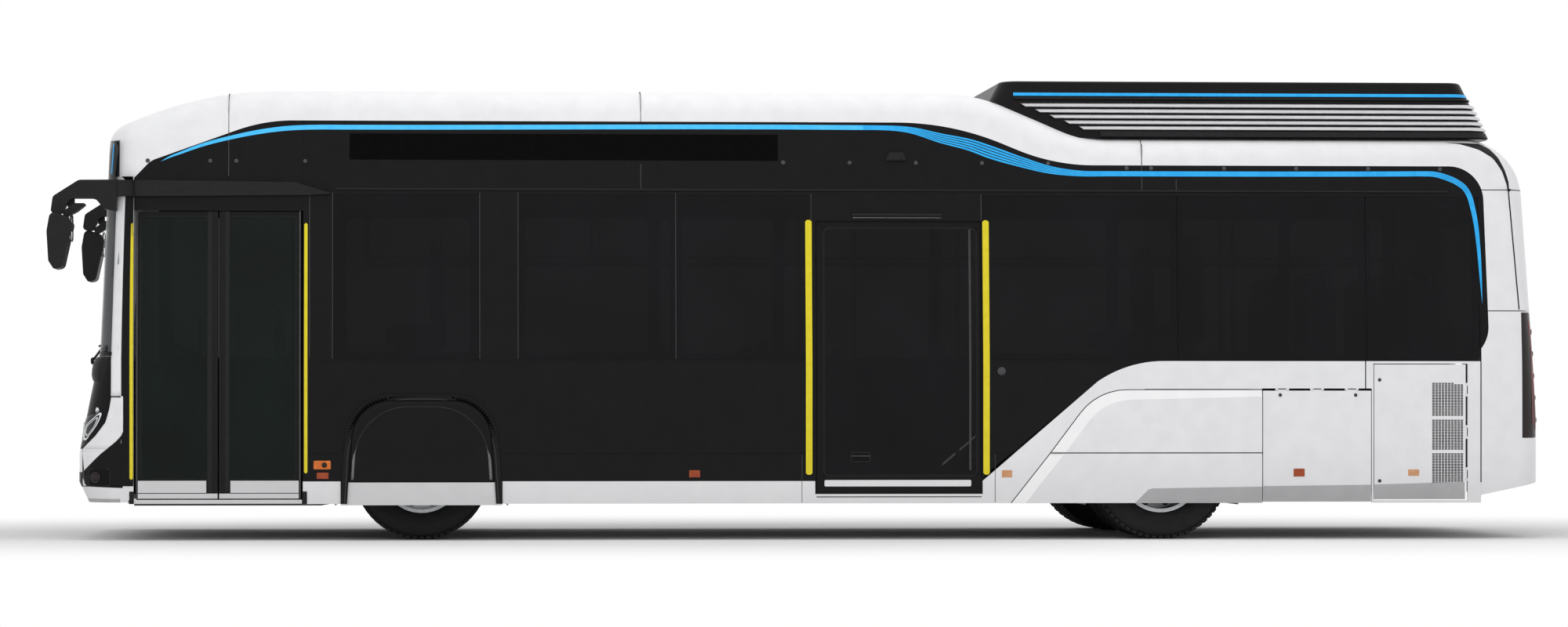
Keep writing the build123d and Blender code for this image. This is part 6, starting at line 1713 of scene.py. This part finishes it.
axle_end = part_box("rear_axle")[1].y
for node, side in (("front_left_rim", -1), ("front_right_rim", 1), ("rear_left_rims", -1),
                   ("rear_right_rims", 1)):
    body = node.replace("rims", "wheels").replace("rim", "wheel")
    centre = wheel_centre(node)
    low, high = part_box(node)
    nut_y, hole_y, hub_y = (rim_depth(node, centre, radius, side)
                            for radius in (NUT_CIRCLE, HOLE_CIRCLE, HUB))
    print(node, "nut, hole and hub depth:", nut_y, hole_y, hub_y)
    for label, profile, sides, radius, y, start, finish, slot, smooth in (
        ("nuts", [(0.0215, 0.0), (0.0215, 0.003), (0.0165, 0.004), (0.0165, 0.020), (0.013, 0.024)],
         6, NUT_CIRCLE, nut_y - side * 0.001, 0.0, chrome_trim, "silver", False),
        ("studs", [(0.0095, 0.0), (0.0095, 0.033), (0.008, 0.035)], 12, NUT_CIRCLE, nut_y, 0.0,
         cast_iron, "silver", True),
        # hand holes are black discs on the rim: painted shade of the holes
        ("hand_holes", [(0.026, -0.001), (0.026, 0.0015), (0.021, 0.0025)], 20, HOLE_CIRCLE, hole_y,
         0.314, joint_and_hole_shade_black, "black", False)):
        turned_items(f"{body}_{label}", profile, sides,
                     round_spots(centre, radius, y, side, NUTS, start), finish, body, slot,
                     smooth=smooth)
    face_y = side * max(abs(low.y), abs(high.y))
    turned(f"{body}_flange", [(r, face_y - side * inset - centre[1]) for r, inset in FLANGE],
           centre, chrome_trim, body, "silver")
    reach = axle_end - abs(hub_y)                   # how far the axle stands out of the hub
    if "rear" in node:
        cup = [(0.086, -0.001), (0.086, 0.004), (0.078, 0.010), (0.066, 0.014),
               (0.060, reach - 0.008), (0.055, reach + 0.004), (0.030, reach + 0.008),
               (0.004, reach + 0.009), (0.004, reach + 0.004), (0.050, reach + 0.003),
               (0.050, -0.001)]
        cover = turned("cup", [(r, hub_y - centre[1] + side * h) for r, h in cup], centre,
                       chassis_paint, body, "silver")
        bolt = turned_items("bolt",
                            [(0.012, reach + 0.006), (0.012, reach + 0.013),
                             (0.006, reach + 0.016)], 12,
                            [((centre[0], hub_y, centre[2]), (0, side, 0), (1, 0, 0))], stainless,
                            body, "silver")
        joined(f"{body}_hub_cover", [cover, bolt])
    turned_items(f"{body}_valve", [(0.006, 0.0), (0.006, 0.018), (0.0045, 0.026)], 10,
                 round_spots(centre, VALVE_CIRCLE, hole_y, side, 1, 0.628), stainless, body,
                 "silver")

# %% [markdown]
# The rear pod hides the cooling pack. Five polished louvres wrap its sides and end, and a
# blue line runs round under its cap. All of them follow the pod's own rounded plan, which
# shrinks evenly from foot to top, so one function gives the outline at any height.

# %% Pod outline and louvres
POD_FOOT = (REAR_AXLE - 1.362, REAR_AXLE + 2.447, HALF - 0.155, 0.150)
POD_TOP = (REAR_AXLE - 1.132, REAR_AXLE + 2.267, HALF - 0.260, 0.130)
POD_LOW, POD_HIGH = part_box("roof_pod")[0].z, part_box("roof_pod")[1].z


def pod_ring(z, proud, start, steps=10):
    """(x, y) points from the door side round the rear to the other side, from x = start."""
    part = (z - POD_LOW) / (POD_HIGH - POD_LOW)
    _, x1, half, corner = [a + (b - a) * part for a, b in zip(POD_FOOT, POD_TOP)]
    line = [(start + (x1 - corner - start) * k / 12, -half - proud) for k in range(13)]
    for k in range(1, steps + 1):
        turn = math.radians(90 * k / steps)
        line.append((x1 - corner + (corner + proud) * math.sin(turn),
                     -half + corner - (corner + proud) * math.cos(turn)))
    return line + [(x, -y) for x, y in reversed(line)]


def pod_rail(name, z, section, start, material, slot, start_slope=0.0):
    """Solid rail round the pod with a section of (proud, dz) points."""
    loops = [[(x, y, z + dz) for x, y in pod_ring(z + dz, proud, start + start_slope * dz)]
             for proud, dz in section]
    piece = lofted(name, list(zip(*loops)), material, slot=slot, smooth=True)
    piece.data.set_sharp_from_angle(angle=math.radians(40))
    return piece


LOUVRE_SECTION = [(-0.004, -0.0150), (0.010, -0.0150), (0.018, -0.0125), (0.0235, -0.0065),
                  (0.025, 0.0), (0.0225, 0.0070), (0.016, 0.0125), (0.008, 0.0150),
                  (-0.004, 0.0150)]
LOUVRE_TOP, LOUVRE_STEP, LOUVRE_START = 3.145, 0.042, REAR_AXLE - 0.985
rails = [pod_rail(f"louvre_{k}", LOUVRE_TOP - LOUVRE_STEP * k, LOUVRE_SECTION,
                  LOUVRE_START + 0.1045 * k, louvre_metal, "silver", -1.6) for k in range(5)]
louvres = joined("pod_louvre_bars", rails)
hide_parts("pod_louvres")
for name, z, section, start, finish, slot in (
    ("pod_blue_line", 3.226,
     [(-0.003, -0.0115), (0.0035, -0.0115), (0.0055, 0.0), (0.0035, 0.0115), (-0.003, 0.0115)],
     REAR_AXLE - 1.05, blue_film, "white"),
    ("pod_cap_edge", 3.196,
     [(-0.003, -0.006), (0.011, -0.006), (0.013, 0.0), (0.011, 0.006), (-0.003, 0.006)],
     REAR_AXLE - 1.05, satin_black, "black"),
    ("pod_foot_rail", 2.936, [(-0.003, -0.022), (0.012, -0.022), (0.012, 0.018), (-0.003, 0.022)],
     REAR_AXLE - 0.43, satin_black, "black")):
    pod_rail(name, z, section, start, finish, slot)
print("pod louvres:", len(louvres.data.polygons), "faces")

# %% [markdown]
# On top, the pod has four cooling fans behind wire guards, sunk so that nothing stands
# above the cap. Cylinders cut the wells, then a ring, blades and a guard go into each.

# %% Fan wells
FANS = [(REAR_AXLE - 0.55 + 0.78 * k, 0.0) for k in range(4)]
FAN_RADIUS, WELL_DEEP = 0.30, 0.055
cutter = joined("cutter", [lofted("well", [circle(FAN_RADIUS, 48, z, spot) for z in (
    POD_HIGH - WELL_DEEP, POD_HIGH + 0.1)], satin_black) for spot in FANS])
pod = cut_copy("pod_cap", "roof_pod", cutter, black_enamel, "black", "DIFFERENCE")
bpy.data.objects.remove(cutter)
pod.data.shade_flat()
for number, (x, y) in enumerate(FANS, 1):
    z = POD_HIGH
    parts = [tube("ring", circle(0.055 + 0.046 * ring, 48, z - 0.008, (x, y)), 0.0035, panel_edge,
                  slot="black", cyclic=True, sides=1) for ring in range(6)]
    for spoke in range(4):
        turn, reach = math.pi * spoke / 4 + 0.2, FAN_RADIUS - 0.004
        along = Vector((reach * math.cos(turn), reach * math.sin(turn), 0))
        middle = Vector((x, y, z - 0.011))
        parts.append(tube("spoke", [middle - along, middle + along], 0.004, panel_edge,
                          slot="black", sides=1))
    joined(f"fan_guard_{number}", parts)
    blade = item_block((0.19, 0.075, 0.004), bevel=0.0015, taper=0.97)
    blades = []
    for k in range(7):
        turn = math.tau * k / 7
        out = Vector((math.cos(turn), math.sin(turn), 0))
        tilt = Vector((-math.sin(turn) * 0.45, math.cos(turn) * 0.45, 1)).normalized()
        blades.append((Vector((x, y, z - 0.040)) + out * 0.165, tilt, out))
    placed_items(f"fan_blades_{number}", blade, blades, grey_plastic, slot="black")
    turned_items(f"fan_boss_{number}",
                 [(0.060, -0.030), (0.060, -0.004), (0.050, 0.004), (0.020, 0.006)], 28,
                 [((x, y, z - 0.012), (0, 0, 1), (1, 0, 0))], satin_black, slot="black")

# %% [markdown]
# The tank cover is a row of light panels, screwed down. Fine gaps and screws give the flat
# roof its scale. Slatted vents stand in pairs over the first, middle and last panel.

# %% Tank cover panels
cover_low, cover_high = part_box("tank_cover")
TOP = cover_high.z
PANELS = 5
panel_long = (cover_high.x - cover_low.x) / PANELS
gaps = [((x - 0.003, cover_low.y + 0.01), (x + 0.003, cover_high.y - 0.01))
        for x in (cover_low.x + panel_long * k for k in range(1, PANELS))]
gaps.append(((cover_low.x + 0.01, -0.003), (cover_high.x - 0.01, 0.003)))
joined("tank_cover_gaps",
               [blocks("gap", [((*low, TOP - 0.004), (*high, TOP + 0.0006))], joint_and_hole_shade_black,
                       width=0.0003) for low, high in gaps])
screws = []
for k in range(PANELS):
    for n in range(5):
        x = cover_low.x + panel_long * k + 0.04 + (panel_long - 0.08) * n / 4
        screws += [((x, y, TOP - 0.0005), (0, 0, 1), (1, 0, 0))
                   for y in (cover_low.y + 0.035, cover_high.y - 0.035, -0.035, 0.035)]
turned_items("tank_cover_screws", [(0.009, 0.0), (0.009, 0.0012), (0.0065, 0.003), (0.003, 0.0034)],
             12, screws, stainless, slot="silver")
slats = [((cover_low.x + panel_long * panel + 0.028 * (n - 6), side * 0.42, TOP - 0.001), (0, 0, 1),
          (0, 1, 0)) for panel in (0.5, 2.5, 4.5) for side, _ in SIDES for n in range(13)]
slat = item_block((0.30, 0.014, 0.0065), bevel=0.002, taper=0.85)
placed_items("tank_cover_vents", slat, slats, satin_black, slot="black")
print("tank cover:", len(screws), "screws,", len(slats), "vent slats")

# %% [markdown]
# Each mirror head is a black moulding on an arm. The silvered glass faces backwards
# and sits inside a thin lip. Rays sent forward at the head find its rear face, so the
# glass follows the moulding.

# %% Mirror glass
MIRROR_LOW, MIRROR_HIGH, MIRROR_IN, MIRROR_OUT = 1.985, 2.325, 1.165, 1.350


def mirror_glass(side):
    """Points on the rear face of one head, by grid place; places where the ray misses are left out.
    """
    tree, spots = nodes_tree(["mirrors"]), {}
    for i in range(9):
        for j in range(13):
            y = side * (MIRROR_IN + (MIRROR_OUT - MIRROR_IN) * i / 8)
            z = MIRROR_LOW + (MIRROR_HIGH - MIRROR_LOW) * j / 12
            hit = tree.ray_cast(Vector((-4.0, y, z)), Vector((-1, 0, 0)), 1.6)[0]
            if hit:
                spots[i, j] = hit
    return spots


for side, label in SIDES:
    spots = mirror_glass(side)
    rear = max(p.x for p in spots.values())
    keep = {k: p for k, p in spots.items() if p.x > rear - 0.03}
    ys, zs = [p.y for p in keep.values()], [p.z for p in keep.values()]
    y0, y1, z0, z1 = min(ys) + 0.012, max(ys) - 0.012, min(zs) + 0.012, max(zs) - 0.012
    print(label, "mirror glass:", [round(v, 3) for v in (rear, y0, y1, z0, z1)], len(keep), "of",
          len(spots))
    x = sorted(p.x for p in keep.values())[len(keep) // 2]
    glass = [[(x + depth, p.x, p.y) for p in outline(y0, y1, z0, z1, 0.035, 1, 6)]
             for depth in (-0.004, 0.0035)]
    lofted(f"{label}_mirror_glass", glass, chrome_trim, slot="silver")
    lip = [(x + 0.003, p.x, p.y) for p in outline(*grown_box((y0, y1, z0, z1), 0.004), 0.038, 1, 6)]
    tube(f"{label}_mirror_lip", lip, 0.0045, satin_black, slot="black", cyclic=True, sides=2)

# %% [markdown]
# Passengers see the seats through the glass. Each one has a sprung base and a back, both
# upholstered in blue moquette. A cushion is a rounded box whose faces swell towards the
# middle and pull in at a seam round the edge.

# %% Cushions
CROWN = 0.016


def cushion(name, centre, size, thick_axis, steps=10):
    """Crowned closed cushion; size along x, y, z; thick_axis is the one that swells."""
    wide = [a for a in range(3) if a != thick_axis]
    points, faces, index = [], [], {}

    def point(i, j, top):
        rim = i in (0, steps) or j in (0, steps)
        key = (i, j, 0 if rim else top)
        if key not in index:
            u, v = math.cos(math.pi * (1 - i / steps)), math.cos(math.pi * (1 - j / steps))
            u, v = (u + (2 * i / steps - 1)) / 2, (v + (2 * j / steps - 1)) / 2
            fullness = ((1 - u ** 6) * (1 - v ** 6)) ** 0.35
            pleat = 1 - 0.05 * math.exp(-((abs(u) - 0.62) / 0.05) ** 2)
            swell = ((size[thick_axis] / 2 - CROWN) * fullness
                     + CROWN * (1 - u * u) * (1 - v * v) * pleat)
            round_off = 1 - 0.10 * (u * v) ** 4
            spot = [0.0, 0.0, 0.0]
            for axis, share in zip(wide, (u, v)):
                spot[axis] = size[axis] / 2 * share * round_off
            spot[thick_axis] = 0.0 if rim else (swell if top else -swell)
            index[key] = len(points)
            points.append([c + s for c, s in zip(centre, spot)])
        return index[key]

    for top in (True, False):
        for i in range(steps):
            for j in range(steps):
                faces.append([point(i, j, top), point(i + 1, j, top), point(i + 1, j + 1, top),
                              point(i, j + 1, top)])
    return turn_outwards(new_piece(name, points, faces, moquette, "body", "seat_fabric",
                                   smooth=True))


SEATS = [(x, y, z) for x, z in ((3.463, 0.85), (4.222, 0.85)) for y in (-1.15, -0.67, 0.23, 0.71)]
SEATS += [(-1.391, -1.15, 0.335), (-0.646, -1.15, 0.335), (-0.596, 0.71, 0.335),
          (0.148, 0.71, 0.335), (0.924, 0.71, 0.335)]
SEATS += [(x, y, 1.093) for x in (-2.987, 2.513) for y in (-1.07, 0.63)]
BASE_TOP, BACK_FRONT = 0.42, 0.36
for number, (x, y, z) in enumerate(SEATS, 1):
    base = cushion(f"seat_{number:02d}_base", (x + 0.185, y + 0.22, z + BASE_TOP + 0.012),
                   (0.35, 0.42, 0.075), 2)
    back = cushion(f"seat_{number:02d}_back", (x + BACK_FRONT - 0.012, y + 0.22, z + 0.79),
                   (0.075, 0.41, 0.58), 0)
print("cushions:", 2 * len(SEATS))

# %% [markdown]
# The studio is plain: a pale floor that fades into a white surround, one broad lamp over
# the roof and the even light of the surround itself. The camera is a long lens level with
# the skirts, opposite the front axle and shifted to take in the whole length.

# %% Floor, light and camera
scene = bpy.context.scene
scene.view_settings.view_transform = "Standard"
floor_white, floor_tree, floor_shader = new_finish("studio floor", Roughness=0.9,
                                                   Specular_IOR_Level=0.1)
floor_mottle, _ = mottle(floor_tree, 2.0, ("#F4F4F4", "#F8F8F8"), detail=1)
floor_tree.links.new(floor_mottle, floor_shader.inputs["Base Color"])
# away from the bus the floor glows as white as the surround, so no horizon shows
floor_spot = add_node(floor_tree, "ShaderNodeTexCoord").outputs["Object"]
floor_reach = add_node(floor_tree, "ShaderNodeVectorMath", {0: floor_spot, 1: (0.33, 1.0, 0.0)},
                       operation="MULTIPLY")
floor_away = add_node(floor_tree, "ShaderNodeVectorMath", {0: floor_reach.outputs["Vector"]},
                      operation="LENGTH")
floor_fade = add_node(floor_tree, "ShaderNodeMapRange",
                      {"Value": floor_away.outputs["Value"], "From Min": 1.7, "From Max": 5.0},
                      interpolation_type="SMOOTHSTEP")
floor_glow = add_node(floor_tree, "ShaderNodeEmission", {"Color": (1, 1, 1, 1), "Strength": 1.0})
floor_blend = add_node(floor_tree, "ShaderNodeMixShader",
                       {0: floor_fade.outputs["Result"], 1: floor_shader.outputs["BSDF"],
                        2: floor_glow.outputs["Emission"]})
floor_output = next(node for node in floor_tree.nodes if node.type == "OUTPUT_MATERIAL")
floor_tree.links.new(floor_blend.outputs["Shader"], floor_output.inputs["Surface"])
FLOOR_REACH = 60
floor = bpy.data.objects.new("studio_floor", bpy.data.meshes.new("studio_floor"))
floor.data.from_pydata([(-FLOOR_REACH, -FLOOR_REACH, 0), (FLOOR_REACH, -FLOOR_REACH, 0),
                        (FLOOR_REACH, FLOOR_REACH, 0), (-FLOOR_REACH, FLOOR_REACH, 0)], [],
                       [(0, 1, 2, 3)])
floor.data.materials.append(floor_white)
scene.collection.objects.link(floor)

AMBIENT = 0.62
world = bpy.data.worlds.new("white surround")
scene.world = world
world.use_nodes = True
sky = world.node_tree
sky.nodes.clear()
rays = add_node(sky, "ShaderNodeLightPath")
seen = add_node(sky, "ShaderNodeMath",
                {0: rays.outputs["Is Camera Ray"], 1: rays.outputs["Is Glossy Ray"]},
                operation="MAXIMUM")
seen = add_node(sky, "ShaderNodeMath", {0: seen.outputs[0], 1: rays.outputs["Is Transmission Ray"]},
                operation="MAXIMUM")
strength = add_node(sky, "ShaderNodeMapRange",
                    {"Value": seen.outputs[0], "To Min": AMBIENT, "To Max": 1.0})
surround = add_node(sky, "ShaderNodeBackground",
                    {"Color": (1, 1, 1, 1), "Strength": strength.outputs["Result"]})
add_node(sky, "ShaderNodeOutputWorld", {"Surface": surround.outputs["Background"]})

for name, spot, aim, size, watts in (
        ("roof lamp", (0, -3, 11), (0, 0, 1), 14, 560),
        ("side lamp", (-4, -16, 9), (0, 0, 1.5), 9, 330)):
    lamp = bpy.data.lights.new(name, "AREA")
    lamp.shape = "DISK"
    lamp.size = size
    lamp.energy = watts
    holder = bpy.data.objects.new(name, lamp)
    holder.location = spot
    holder.rotation_euler = (Vector(aim) - Vector(spot)).to_track_quat("-Z", "Y").to_euler()
    holder.visible_glossy = False
    scene.collection.objects.link(holder)

CAMERA_AWAY, CAMERA_HIGH, CAMERA_TURN = 24.9, 0.95, math.radians(-2.5)
camera_data = bpy.data.cameras.new("side view")
camera_data.lens = 80
camera_data.sensor_width = 36
camera_data.shift_x = 0.1325
camera_data.shift_y = 0.06
camera_data.clip_end = 200
camera = bpy.data.objects.new("side view", camera_data)
camera.location = (FRONT_AXLE + 0.0175, -HALF - CAMERA_AWAY, CAMERA_HIGH)
camera.rotation_euler = (math.radians(90), 0, CAMERA_TURN)
scene.collection.objects.link(camera)
scene.camera = camera
